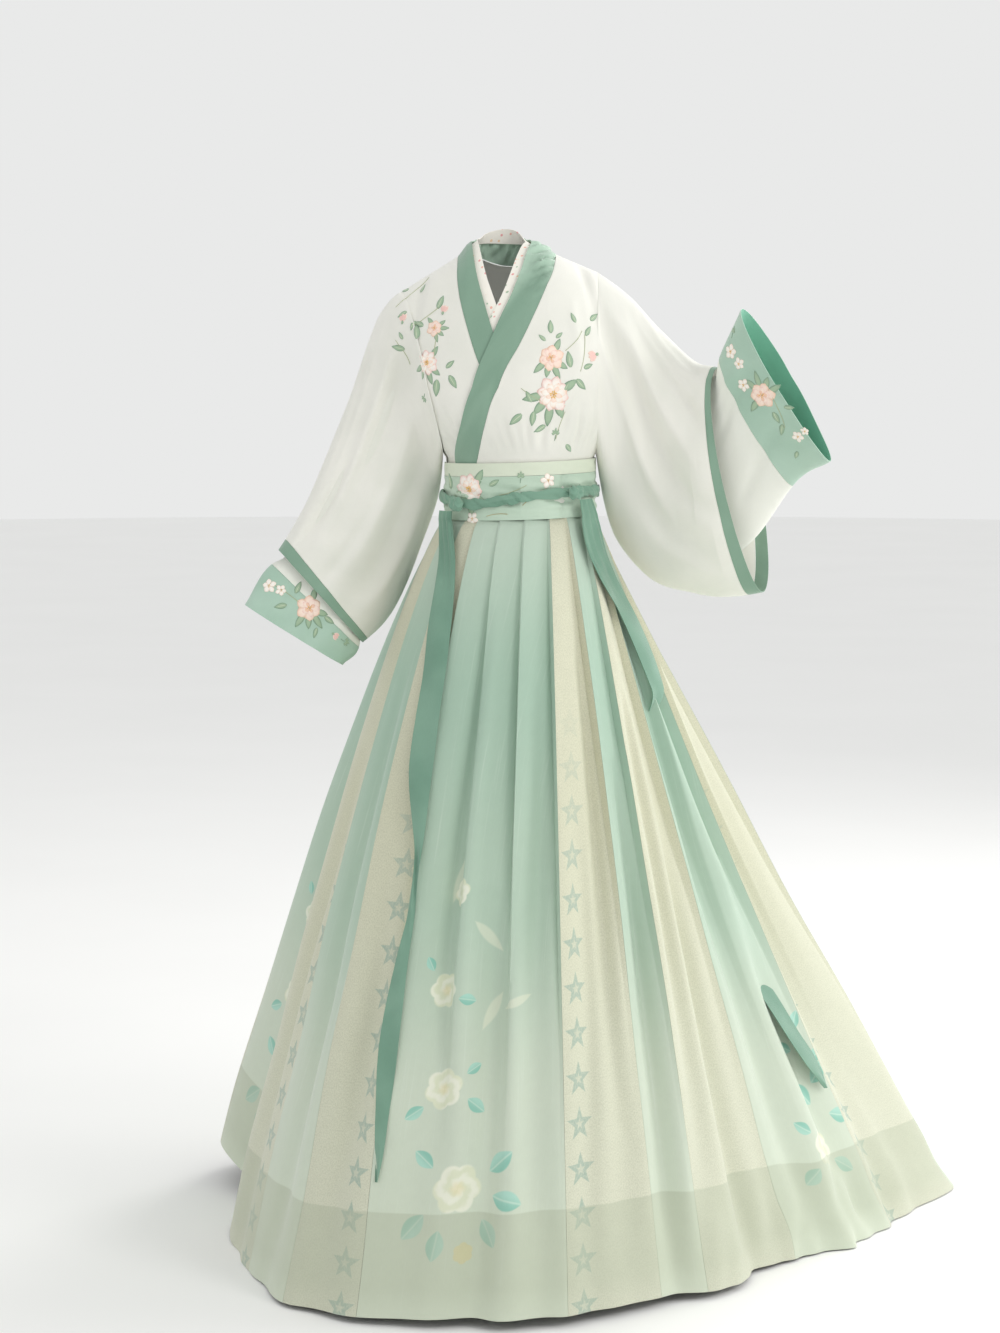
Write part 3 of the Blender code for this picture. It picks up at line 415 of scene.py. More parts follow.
TAIL_ROWS = {
    "right": (
        (1.070, -0.060, 0.014),
        (0.985, -0.068, 0.022),
        (0.890, -0.079, 0.028),
        (0.780, -0.094, 0.030),
        (0.715, -0.103, 0.030),
        (0.640, -0.106, 0.018),
        (0.590, -0.108, 0.008),
        (0.530, -0.115, 0.008),
        (0.460, -0.128, 0.016),
        (0.390, -0.140, 0.024),
        (0.330, -0.147, 0.024),
        (0.270, -0.153, 0.018),
        (0.215, -0.157, 0.012),
        (0.175, -0.161, 0.003),
    ),
    "left": (
        (1.070, 0.1045, 0.014),
        (1.010, 0.120, 0.021),
        (0.960, 0.142, 0.022),
        (0.900, 0.172, 0.022),
        (0.840, 0.200, 0.019),
        (0.770, 0.222, 0.012),
        (0.690, 0.252, 0.006),
        (0.600, 0.290, 0.006),
        (0.500, 0.332, 0.006),
        (0.430, 0.362, 0.010),
        (0.365, 0.385, 0.020),
        (0.305, 0.412, 0.020),
        (0.255, 0.440, 0.017),
        (0.215, 0.462, 0.003),
    ),
}

# Camera: its place in the frame, its tilt down, and its focal length in the photo's pixels
EYE = np.array([0.0, -4.0, -0.10])
EYE_TILT = math.radians(6.71)
FOCAL = 2880.0
IMAGE = (1000, 1333)
SENSOR_MM = 36.0

# Embroidery, one row a motif: its place in the photo, its size in metres and its turn
MOTIF_COLUMNS = ("kind", "px", "py", "size", "turn")
EMBROIDERY = {
    "robe_front_right": (
        ("stem", 412, 292, 0.062, 212),
        ("stem", 404, 352, 0.040, -52),
        ("stem", 437, 345, 0.046, 80),
        ("stem", 425, 318, 0.050, 205),
        ("leaf", 424, 327, 0.017, 150),
        ("leaf", 416, 322, 0.015, 240),
        ("bud", 443, 312, 0.011, 70),
        ("leaf", 408, 290, 0.018, 128),
        ("leaf", 421, 293, 0.014, 58),
        ("leaf", 407, 311, 0.016, 196),
        ("leaf", 438, 309, 0.020, 66),
        ("leaf", 416, 338, 0.021, 96),
        ("leaf", 402, 338, 0.012, 128),
        ("leaf", 405, 349, 0.019, 176),
        ("bud", 401, 322, 0.012, 84),
        ("rose", 434, 327, 0.011, 80),
        ("peony", 427, 362, 0.0155, 10),
        ("leaf", 437, 378, 0.024, 262),
        ("leaf", 449, 377, 0.020, 300),
        ("leaf", 446, 367, 0.015, 40),
        ("sprig", 425, 397, 0.013, 260),
    ),
    "robe_front_left": (
        ("stem", 575, 340, 0.040, 228),
        ("stem", 583, 352, 0.052, 262),
        ("stem", 536, 396, 0.050, 150),
        ("stem", 560, 425, 0.040, 70),
        ("leaf", 545, 425, 0.018, 205),
        ("leaf", 566, 444, 0.015, 300),
        ("leaf", 585, 336, 0.016, 60),
        ("leaf", 551, 334, 0.018, 92),
        ("leaf", 556, 338, 0.012, 40),
        ("leaf", 546, 342, 0.012, 140),
        ("leaf", 576, 322, 0.015, 118),
        ("leaf", 590, 320, 0.017, 44),
        ("rose", 550, 359, 0.0165, 20),
        ("bud", 596, 356, 0.014, 200),
        ("leaf", 570, 369, 0.022, 100),
        ("leaf", 584, 368, 0.016, 20),
        ("leaf", 577, 381, 0.021, 318),
        ("leaf", 568, 382, 0.014, 240),
        ("peony", 553, 394, 0.0225, -14),
        ("leaf", 531, 402, 0.017, 118),
        ("leaf", 522, 415, 0.022, 222),
        ("leaf", 534, 412, 0.020, 262),
        ("sprig", 556, 436, 0.015, 84),
    ),
    "cuff_right": (
        ("stem", 288, 596, 0.070, -36),
        ("blossom", 268, 586, 0.0095, 20),
        ("blossom", 281, 591, 0.0075, 60),
        ("leaf", 296, 594, 0.018, 64),
        ("leaf", 286, 604, 0.018, 190),
        ("rose", 310, 608, 0.0175, 30),
        ("leaf", 325, 617, 0.017, 320),
        ("leaf", 318, 628, 0.015, 250),
        ("bud", 334, 634, 0.010, 320),
        ("sprig", 345, 642, 0.014, -30),
    ),
    "cuff_left": (
        ("sprig", 733, 333, 0.013, 60),
        ("blossom", 730, 352, 0.0100, 10),
        ("blossom", 739, 365, 0.0080, 40),
        ("blossom", 742, 385, 0.0090, 70),
        ("rose", 762, 396, 0.0180, 200),
        ("leaf", 774, 412, 0.019, 300),
        ("leaf", 783, 406, 0.016, 20),
        ("leaf", 782, 424, 0.018, 268),
        ("stem", 778, 410, 0.060, -62),
        ("blossom", 797, 436, 0.0085, 0),
        ("leaf", 798, 452, 0.014, 262),
        ("blossom", 809, 428, 0.0060, 30),
    ),
    "waistband": (
        ("leaf", 451, 488, 0.022, 108),
        ("peony", 469, 490, 0.0215, 12),
        ("leaf", 489, 485, 0.016, 30),
        ("stem", 512, 490, 0.040, 200),
        ("sprig", 521, 478, 0.013, 86),
        ("grass", 539, 497, 0.042, 20),
        ("grass", 533, 499, 0.034, 34),
        ("blossom", 549, 481, 0.0100, 30),
        ("leaf", 575, 494, 0.016, 70),
        ("sprig", 593, 488, 0.013, 96),
        ("blossom", 472, 519, 0.0090, 200),
        ("grass", 497, 515, 0.030, 4),
    ),
}
PETAL_ROWS = 7
SEPALS = ((196, 1.30), (232, 1.05), (268, 1.35), (304, 1.05), (38, 1.15))
PETAL_ACROSS = 5
THREAD_LIFT = 0.0003
THREAD_HEIGHT = 0.0006
HIDDEN_SPRAY_SIZE = 0.015

STITCH_PITCH = 0.0042
STITCH_LENGTH = 0.0027
STITCH_RADIUS = 0.00028
STAR_RADIUS = 0.0235
STAR_SPACING = 0.0590
STAR_PLACE = 0.026
HEM_BAND_HEIGHT = 0.135
SKIRT_LENGTH = 1.13


def column(names, rows, name):
    """One named column of a table."""
    return np.array([row[names.index(name)] for row in rows], float)


def smooth(at, keys, values):
    """Reads a column on a smooth curve through its rows."""
    slope = np.gradient(values, keys)
    i = np.clip(np.searchsorted(keys, at) - 1, 0, len(keys) - 2)
    step = keys[i + 1] - keys[i]
    f = (at - keys[i]) / step
    rise = values[i] * (1 + 2 * f) * (1 - f) ** 2 + slope[i] * step * f * (1 - f) ** 2
    return rise + values[i + 1] * f ** 2 * (3 - 2 * f) + slope[i + 1] * step * f ** 2 * (f - 1)


def read(at, names, rows, name):
    """A table's named column at the values of its first column."""
    return smooth(np.asarray(at, float), column(names, rows, names[0]), column(names, rows, name))


def step_up(value, low, high):
    """0 below low, 1 above high, and a soft rise between."""
    f = np.clip((np.asarray(value, float) - low) / (high - low), 0, 1)
    return f * f * (3 - 2 * f)


def points(x, y, z):
    """Three coordinates as one array of points."""
    return np.stack(np.broadcast_arrays(np.asarray(x, float), y, z), axis=-1)


def unit(vectors):
    """Vectors of length one."""
    return vectors / np.maximum(np.linalg.norm(vectors, axis=-1, keepdims=True), 1e-12)


def grid_normals(grid, around=False):
    """Normals of a grid of points, averaged from its faces."""
    cells = np.concatenate([grid, grid[:, :1]], axis=1) if around else grid
    across = cells[:-1, 1:] - cells[1:, :-1]
    down = cells[:-1, :-1] - cells[1:, 1:]
    face = unit(np.cross(across, down))
    if around:
        face = np.concatenate([face[:, -1:], face], axis=1)
    else:
        face = np.concatenate([face[:, :1], face, face[:, -1:]], axis=1)
    face = np.concatenate([face[:1], face, face[-1:]], axis=0)
    return unit(face[:-1, :-1] + face[1:, :-1] + face[:-1, 1:] + face[1:, 1:])


def outward(grid):
    """1 where the grid's normals point away from its middle, else -1."""
    normal = grid_normals(grid, True)
    middle = grid.mean(axis=1, keepdims=True)
    return 1.0 if np.sum(normal * (grid - middle)) > 0 else -1.0


def ripple(u, v, seed, size, stretch=1.0):
    """Soft uneven waves from -1 to 1 over a sheet, a size apart, longer along v by stretch."""
    draw = np.random.default_rng(seed)
    total = np.zeros(np.broadcast(u, v).shape)
    for _ in range(7):
        turn = draw.uniform(0, 2 * math.pi)
        length = size * draw.uniform(0.7, 1.6)
        start = draw.uniform(0, 2 * math.pi)
        total += np.sin((u * math.cos(turn) + v * math.sin(turn) / stretch) * 2 * math.pi / length + start)
    return total / 4


# Cloth sheets as meshes

def cut_lines(grid, around=False, from_right=False):
    """Where each point lies on the flat cloth: metres across from one edge, metres up from the hem."""
    full = np.concatenate([grid, grid[:, :1]], axis=1) if around else grid
    across = np.linalg.norm(np.diff(full, axis=1), axis=2)
    across = np.concatenate([np.zeros((len(full), 1)), np.cumsum(across, axis=1)], axis=1)
    if from_right:
        across = across[:, -1:] - across
    down = np.linalg.norm(np.diff(full, axis=0), axis=2)
    down = np.concatenate([np.zeros((1, full.shape[1])), np.cumsum(down, axis=0)], axis=0)
    return np.stack([across, down[-1:] - down], axis=-1)


def cloth(name, outer, inner, finish, around=False, lining=None, from_right=False):
    """A thin closed sheet between two grids, with its flat cut as its UV map."""
    rows, count = outer.shape[:2]
    spans = count if around else count - 1
    cut = cut_lines(outer, around, from_right)
    verts = np.concatenate([outer.reshape(-1, 3), inner.reshape(-1, 3)]) - np.array([0, 0, NAPE])
    i, j = (a.ravel() for a in np.meshgrid(np.arange(rows - 1), np.arange(spans), indexing="ij"))
    corners_i = np.stack([i, i, i + 1, i + 1], axis=1)
    corners_j = np.stack([j, j + 1, j + 1, j], axis=1)
    layers = np.zeros(len(i), int)[:, None] + np.zeros(4, int)
    faces = [(corners_i, corners_j, layers)]
    faces.append((corners_i[:, ::-1], corners_j[:, ::-1], layers + 1))
    side = np.array([0, 0, 1, 1])
    span = np.arange(spans)
    for row, order in ((0, (1, 0, 0, 1)), (rows - 1, (0, 1, 1, 0))):
        faces.append((np.full((spans, 4), row), span[:, None] + np.array(order), np.tile(side, (spans, 1))))
    if not around:
        span = np.arange(rows - 1)
        for place, order in ((0, (0, 1, 1, 0)), (count - 1, (1, 0, 0, 1))):
            faces.append((span[:, None] + np.array(order), np.full((rows - 1, 4), place),
                          np.tile(side, (rows - 1, 1))))
    face_i, face_j, face_layer = (np.concatenate([f[k] for f in faces]) for k in range(3))
    index = face_i * count + face_j % count + face_layer * rows * count
    a, b, c = verts[index[:, 0]], verts[index[:, 1]], verts[index[:, 2]]
    d = verts[index[:, 3]]
    volume = np.sum(a * np.cross(b, c)) + np.sum(a * np.cross(c, d))
    if volume < 0:
        index, face_i, face_j = index[:, ::-1], face_i[:, ::-1], face_j[:, ::-1]
    mesh = bpy.data.meshes.new(name)
    mesh.from_pydata(verts.tolist(), [], index.tolist())
    layer_uv = mesh.uv_layers.new(name="cut")
    layer_uv.data.foreach_set("uv", cut[face_i, face_j].reshape(-1).astype(np.float32))
    mesh.materials.append(finish)
    if lining:
        mesh.materials.append(lining)
        kinds = np.zeros(len(index), np.int32)
        kinds[len(i):2 * len(i)] = 1
        mesh.polygons.foreach_set("material_index", kinds)
    mesh.shade_smooth()
    mesh.set_sharp_from_angle(angle=math.radians(70))
    piece = bpy.data.objects.new(name, mesh)
    bpy.context.collection.objects.link(piece)
    return piece


def hang(piece, node):
    """Hangs a sheet on the root body and hides the solid that it replaces."""
    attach(piece, "root")
    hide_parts(node)


# Robe body

def ridge(x):
    """Height of the shoulder ridge at x."""
    left = RIDGE_DROP["left"] * np.maximum(x - NECK_X["left"] + RIDGE_START, 0)
    right = RIDGE_DROP["right"] * np.maximum(NECK_X["right"] + RIDGE_START - x, 0)
    return RIDGE - left - right


def body(angle, level):
    """A point of the robe's body: degrees from the front towards +X, and the level."""
    angle, level = np.broadcast_arrays(np.asarray(angle, float), np.asarray(level, float))
    middle_x, half, depth, middle_y = (read(level, BODY_COLUMNS, BODY_ROWS, n) for n in BODY_COLUMNS[1:])
    turn = np.radians(angle)
    over = np.maximum(level - 1, 0) * math.pi / 2
    x = middle_x + half * np.sin(turn)
    low_z = TUCK + (BUST - TUCK) * level
    z = np.where(level < 1, low_z, BUST + (ridge(x) - BUST) * np.sin(over))
    return points(x, middle_y - depth * np.cos(turn) * np.cos(over), z)


def body_normal(angle, level):
    """The outward direction of the robe's body."""
    reach = 0.4
    rise = 0.004
    across = body(angle + reach, level) - body(angle - reach, level)
    up = body(angle, level + rise) - body(angle, level - rise)
    return unit(np.cross(across, up))


def layer(angle, level, depth):
    """The body's point moved inwards by depth."""
    return body(angle, level) - body_normal(angle, level) * np.expand_dims(depth, -1)


def body_angle(x, level):
    """The angle at which the body's front reaches x."""
    middle_x, half = (read(level, BODY_COLUMNS, BODY_ROWS, n) for n in ("middle_x", "half_width"))
    return np.degrees(np.arcsin(np.clip((x - middle_x) / half, -1, 1)))


def edge_angle(side, level):
    """The angle of the side seam below the underarm, and of the armhole above it."""
    sign = 1 if side == "left" else -1
    level = np.asarray(level, float)
    underarm_x = UNDERARM_X + sign * UNDERARM_HALF
    even = np.clip((level - UNDERARM_LEVEL) / (SHOULDER_LEVEL - UNDERARM_LEVEL), 0, 1)
    rise = step_up(level, UNDERARM_LEVEL, SHOULDER_LEVEL) * ARMHOLE_CURVE + (1 - ARMHOLE_CURVE) * even
    x = underarm_x + (TIP_X[side] - underarm_x) * rise
    return np.where(level <= UNDERARM_LEVEL, sign * 90.0, body_angle(x, level))


def lapel_x(side, level, edge):
    """Where the collar's seam or free edge is at a level."""
    return read(level, LAPEL_COLUMNS, LAPEL_ROWS[side], edge)


def crease_depth(angles, levels, rows):
    """Depth of a table's creases, each a soft trough with a low ridge on one side."""
    u = np.radians(angles) * BODY_RADIUS
    v = levels * LEVEL_HEIGHT
    depth = np.zeros(angles.shape)
    for row in rows:
        crease = dict(zip(CREASE_COLUMNS, row))
        start = np.array([math.radians(crease["angle"]) * BODY_RADIUS, crease["level"] * LEVEL_HEIGHT])
        end = np.array([math.radians(crease["end_angle"]) * BODY_RADIUS, crease["end_level"] * LEVEL_HEIGHT])
        run = end - start
        length = np.linalg.norm(run)
        share = ((u - start[0]) * run[0] + (v - start[1]) * run[1]) / length ** 2
        away = ((u - start[0]) * run[1] - (v - start[1]) * run[0]) / length / crease["width"]
        fade = np.sin(math.pi * np.clip(share, 0, 1)) ** FOLD_FADE
        trough = np.exp(-away ** 2) - CREASE_SIDE_RIDGE * np.exp(-(away - 1.7) ** 2)
        depth += crease["depth"] * fade * trough
    return depth


def robe_depth(name, angles, levels):
    """How far the robe's cloth lies inside its smooth form."""
    u = np.radians(angles) * BODY_RADIUS
    v = levels * LEVEL_HEIGHT
    free = step_up(levels, 0.42, 0.56) * (1 - step_up(levels, 1.9, 2.0))
    soft = ripple(u, v, len(name), 0.055, 2.2) * 0.0011
    gathers = np.sin(u * 2 * math.pi / 0.021 + 1.7 * np.sin(u * 47)) * (1 - step_up(levels, 0.44, 0.86)) * 0.0012
    return (crease_depth(angles, levels, ROBE_CREASES[name]) + soft + gathers) * free


def under_depth(side, levels):
    """How far one front lies under the other, which ends below the shoulder."""
    return LAYER * (side == "right") * (1 - step_up(levels, *UNDER_ENDS))


def robe_front_grids(side):
    """Outer and inner grids of one front, from the collar's seam to its side seam."""
    sign = 1 if side == "left" else -1
    levels = BODY_LEVELS.copy()
    levels[-1] -= RIDGE_CLEAR_LEVEL
    outer_angle = edge_angle(side, levels) - sign * SIDE_CLEAR_ANGLE
    seam_angle = body_angle(lapel_x(side, levels, "seam_x") + sign * SEAM_GAP / 2, levels)
    share = np.linspace(0, 1, FRONT_COLUMNS)
    angles = seam_angle[:, None] + (outer_angle - seam_angle)[:, None] * share[None, :]
    grid_levels = np.repeat(levels[:, None], FRONT_COLUMNS, axis=1)
    at_edges = np.sin(math.pi * np.clip(share, 0, 1))[None, :] ** 0.35
    depth = np.maximum(robe_depth("robe_front_" + side, angles, grid_levels) * at_edges, -0.004)
    depth = depth + under_depth(side, grid_levels)
    return layer(angles, grid_levels, depth), layer(angles, grid_levels, depth + ROBE_WALL)


def back_shares():
    """Columns across the back, with one at each side of the neck."""
    right = body_angle(NECK_X["right"], SHOULDER_LEVEL) / edge_angle("right", SHOULDER_LEVEL)
    left = body_angle(NECK_X["left"], SHOULDER_LEVEL) / edge_angle("left", SHOULDER_LEVEL)
    outer_right = np.linspace(-1, -right, BACK_SIDE_COLUMNS + 1)[:-1]
    neck = np.linspace(-right, left, BACK_NECK_COLUMNS)
    outer_left = np.linspace(left, 1, BACK_SIDE_COLUMNS + 1)[1:]
    first = BACK_SIDE_COLUMNS
    return np.concatenate([outer_right, neck, outer_left]), (first, first + BACK_NECK_COLUMNS - 1)


def back_grid():
    """Angles and levels of the back, whose top edge dips behind the neck."""
    shares, (first, last) = back_shares()
    levels = BODY_LEVELS
    right = edge_angle("right", levels) + SIDE_CLEAR_ANGLE
    left = edge_angle("left", levels) - SIDE_CLEAR_ANGLE
    angles = np.where(shares[None, :] < 0, -shares[None, :] * right[:, None], shares[None, :] * left[:, None])
    across = np.clip((shares - shares[first]) / (shares[last] - shares[first]), 0, 1)
    dip = (SHOULDER_LEVEL - NECK_DIP_LEVEL) * np.sin(across * math.pi) ** NECK_DIP_CURVE
    top = SHOULDER_LEVEL - RIDGE_CLEAR_LEVEL - dip
    raised = 1 + (levels[:, None] - 1) * (top[None, :] - 1)
    grid_levels = np.where(levels[:, None] > 1, raised, levels[:, None] + 0 * top[None, :])
    return 180.0 - angles, grid_levels


def robe():
    """The two fronts and the back. Returns the fronts' grids for the embroidery."""
    grids = {}
    for side in ("right", "left"):
        name = "robe_front_" + side
        outer, inner = robe_front_grids(side)
        piece = cloth(name + "_cloth", outer, inner, MATERIALS["robe"])
        hang(piece, name)
        grids[name] = outer
    angles, levels = back_grid()
    depth = np.maximum(robe_depth("robe_back", angles, levels), -0.004)
    outer = layer(angles, levels, depth)
    piece = cloth("robe_back_cloth", outer, layer(angles, levels, depth + ROBE_WALL), MATERIALS["robe"])
    hang(piece, "robe_back")
    grids["robe_back"] = outer
    return grids


# Collars

def collar_front(side, low_level, first, last, depth, lap):
    """A collar down its front, from its seam to its free edge."""
    sign = 1 if side == "left" else -1
    levels = np.concatenate([[low_level], BODY_LEVELS[BODY_LEVELS > low_level]])
    seam = lapel_x(side, levels, "seam_x") - sign * SEAM_GAP / 2
    free = lapel_x(side, levels, "free_x")
    share = np.linspace(first, last, COLLAR_STRIPS + 1)
    x = seam[:, None] + (free - seam)[:, None] * share[None, :]
    grid_levels = np.repeat(levels[:, None], len(share), axis=1)
    angles = body_angle(x, grid_levels)
    stand = step_up(levels, COLLAR_STAND_LEVEL, SHOULDER_LEVEL)[:, None] * COLLAR_STAND * share[None, :]
    normal = body_normal(angles, grid_levels)
    depth = depth + lap * under_depth(side, grid_levels)[..., None]
    return body(angles, grid_levels) + points(0, 0, stand) - normal * depth, normal


def collar_back(first, last, depth):
    """The collar round the back of the neck, from the wearer's left to right."""
    angles, levels = back_grid()
    _, (start, end) = back_shares()
    seam = body(angles[-1, start:end + 1], levels[-1, start:end + 1])[::-1]
    reach = seam - np.array([COLLAR_RING_X, 0, 0])
    flat = unit(reach * np.array([1, 1, 0]))
    rise = np.sin(np.linspace(0, math.pi, len(seam)))
    ends = RIDGE + COLLAR_STAND
    free = flat * COLLAR_RING_RADIUS + np.array([COLLAR_RING_X, 0, 0])
    free[:, 2] = ends + (COLLAR_BACK_HEIGHT - ends) * rise
    tips = []
    for side in ("left", "right"):
        turn = body_angle(lapel_x(side, SHOULDER_LEVEL, "free_x"), SHOULDER_LEVEL)
        tips.append(body(turn, SHOULDER_LEVEL) + np.array([0, 0, COLLAR_STAND]))
    near = np.linspace(0, 1, len(seam))[:, None]
    ease = np.exp(-(near / 0.07) ** 2), np.exp(-((1 - near) / 0.07) ** 2)
    free = free + (tips[0] - free[0]) * ease[0] + (tips[1] - free[-1]) * ease[1]
    share = np.linspace(first, last, COLLAR_STRIPS + 1)
    grid = seam[:, None] + (free - seam)[:, None] * share[None, :, None]
    normal = unit(np.cross(np.gradient(grid, axis=0), grid[:, -1:] - grid[:, :1] + 0 * grid))
    facing = np.sum(normal * flat[:, None], axis=-1, keepdims=True)
    normal = normal * np.where(facing < 0, -1, 1)
    return grid - normal * depth, normal


def crumple(grid, strength):
    """Short cross wrinkles along a collar, deeper where strength is high."""
    cut = cut_lines(grid)
    u, v = cut[..., 0], cut[..., 1]
    fine = ripple(v, u, 31, 0.017, 2.6) + 0.6 * ripple(v, u, 32, 0.009, 2.0)
    return fine * strength[:, None]


def collar(name, side, low_level, shares, depth, lap, thickness, finish):
    """A collar band. The left one runs on round the neck, where it meets the right one."""
    grid, normal = collar_front(side, low_level, shares[0], shares[1], depth, lap)
    front_rows = len(grid)
    if side == "left":
        back, back_normal = collar_back(max(shares[0], COLLAR_BACK_START), shares[1], depth)
        grid = np.concatenate([grid[:-1], back[1:-1]])
        normal = np.concatenate([normal[:-1], back_normal[1:-1]])
        normal = unit(normal)
    row = np.arange(len(grid)) / front_rows
    strength = 0.00025 + 0.0040 * step_up(row, 0.62, 0.80) * (side == "left")
    edge = np.sin(math.pi * np.linspace(0.06, 0.94, grid.shape[1]))[None, :] ** 0.5
    wrinkle = crumple(grid, strength) * edge
    outer = grid + normal * (wrinkle[..., None] if name.startswith("collar") else 0)
    piece = cloth(name + "_cloth", outer, outer - normal * thickness, finish)
    hang(piece, name)
    return outer


def collars():
    """The green bands, and the narrow printed collar that shows inside them."""
    grids = {}
    for side in ("left", "right"):
        name = "collar_" + side
        finish = MATERIALS["collar_neck" if side == "left" else "collar"]
        grids[name] = collar(name, side, 0.0, (0.0, 1.0), 0.0, 1.0, BAND_WALL, finish)
        shares = (UNDER_COLLAR_START, UNDER_COLLAR_END[side])
        collar("under_collar_" + side, side, UNDER_COLLAR_LEVEL, shares, 2 * LAYER, UNDER_COLLAR_LAP, UNDER_COLLAR_WALL,
               MATERIALS["print"])
    return grids


# Waist

def ellipse(angle, half_width, half_depth, z):
    """A point of the waist's ellipse, tilted a little to the wearer's left."""
    turn = np.radians(angle)
    x = WAIST_X + half_width * np.sin(turn)
    return points(x, -half_depth * np.cos(turn), z + WAIST_TILT * (x - WAIST_X))


def waist_ring(name, low, high, rows, finish, wrinkle):
    """A band of the waist between two heights, drawn into soft creases by the sash."""
    angle = np.arange(240) * 360.0 / 240
    heights = np.linspace(high, low, rows)[:, None]
    u = np.radians(angle)[None, :] * 0.095
    share = (heights - low) / (high - low)
    long_waves = ripple(u, heights, 11, 0.046, 0.24)
    seams = sum(np.exp(-((u - s) / 0.004) ** 2) for s in (-0.052, 0.056))
    out = wrinkle * (long_waves * np.sin(math.pi * np.clip(share, 0.04, 0.96)) - 0.8 * seams)
    outer = ellipse(angle[None, :], WAIST_HALF_WIDTH + out, WAIST_HALF_DEPTH + out, heights)
    half_width, half_depth = WAIST_HALF_WIDTH + out - BAND_WALL, WAIST_HALF_DEPTH + out - BAND_WALL
    inner = ellipse(angle[None, :], half_width, half_depth, heights)
    piece = cloth(name + "_cloth", outer, inner, finish, around=True)
    hang(piece, name)
    return outer


def sash_level(turn):
    """Height of the sash's middle, which winds a little up and down round the waist."""
    away = (np.asarray(turn, float) + 180) % 360 - 180 - SASH_DIP_ANGLE
    dip = SASH_DIP * np.exp(-(away / SASH_DIP_SPREAD) ** 2)
    return SASH_LEVEL + SASH_WANDER * np.sin(np.radians(turn) * 2) - dip


def sash_wrap():
    """The gathered turn of the sash: a rope of soft strands that twist round the waist."""
    turn = np.arange(SASH_TURNS) * 360.0 / SASH_TURNS
    round_angle = np.arange(SASH_SIDES)[:, None] * 2 * math.pi / SASH_SIDES
    along = np.radians(turn)[None, :]
    swell = 1 - 0.16 * np.sin(along * 5 + 0.6) ** 2 - 0.06 * np.sin(along * 13)
    wander = 3.6 * np.sin(along * 2 + 0.4) + 2.4 * np.sin(along * 5 + 1) + 1.3 * np.sin(along * 11)
    twist = round_angle * 2 + along * 13 + wander
    folds = 1 - 0.26 * (0.5 + 0.5 * np.cos(twist)) - 0.10 * (0.5 + 0.5 * np.cos(2 * twist + along * 13))
    pinch = swell * folds
    out = SASH_THICKNESS / 2 * (1 + np.cos(round_angle)) * pinch + SASH_CLEARANCE
    up = SASH_HEIGHT / 2 * np.sin(round_angle) * pinch * 1.22
    grid = ellipse(turn[None, :], WAIST_HALF_WIDTH + out, WAIST_HALF_DEPTH + out, sash_level(turn)[None, :] + up)
    verts = grid.reshape(-1, 3) - np.array([0, 0, NAPE])
    k, j = (a.ravel() for a in np.meshgrid(np.arange(SASH_SIDES), np.arange(SASH_TURNS), indexing="ij"))
    k2, j2 = (k + 1) % SASH_SIDES, (j + 1) % SASH_TURNS
    faces = np.stack([k * SASH_TURNS + j, k * SASH_TURNS + j2, k2 * SASH_TURNS + j2, k2 * SASH_TURNS + j], axis=1)
    mesh = bpy.data.meshes.new("sash_wrap_cloth")
    mesh.from_pydata(verts.tolist(), [], faces.tolist())
    cut = np.stack([j[:, None] + np.array([0, 1, 1, 0]), k[:, None] + np.array([0, 0, 1, 1])], axis=-1)
    cut = cut * np.array([0.60 / SASH_TURNS, 0.045 / SASH_SIDES])
    mesh.uv_layers.new(name="cut").data.foreach_set("uv", cut.reshape(-1).astype(np.float32))
    mesh.materials.append(MATERIALS["sash"])
    mesh.shade_smooth()
    piece = bpy.data.objects.new("sash_wrap_cloth", mesh)
    bpy.context.collection.objects.link(piece)
    face_out(piece)
    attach(piece, "root")
    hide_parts("sash_wrap")


def face_out(piece):
    """Turns a closed mesh's faces outwards."""
    bpy.ops.object.select_all(action="DESELECT")
    bpy.context.view_layer.objects.active = piece
    piece.select_set(True)
    bpy.ops.object.mode_set(mode="EDIT")
    bpy.ops.mesh.select_all(action="SELECT")
    bpy.ops.mesh.normals_make_consistent(inside=False)
    bpy.ops.object.mode_set(mode="OBJECT")
    piece.select_set(False)


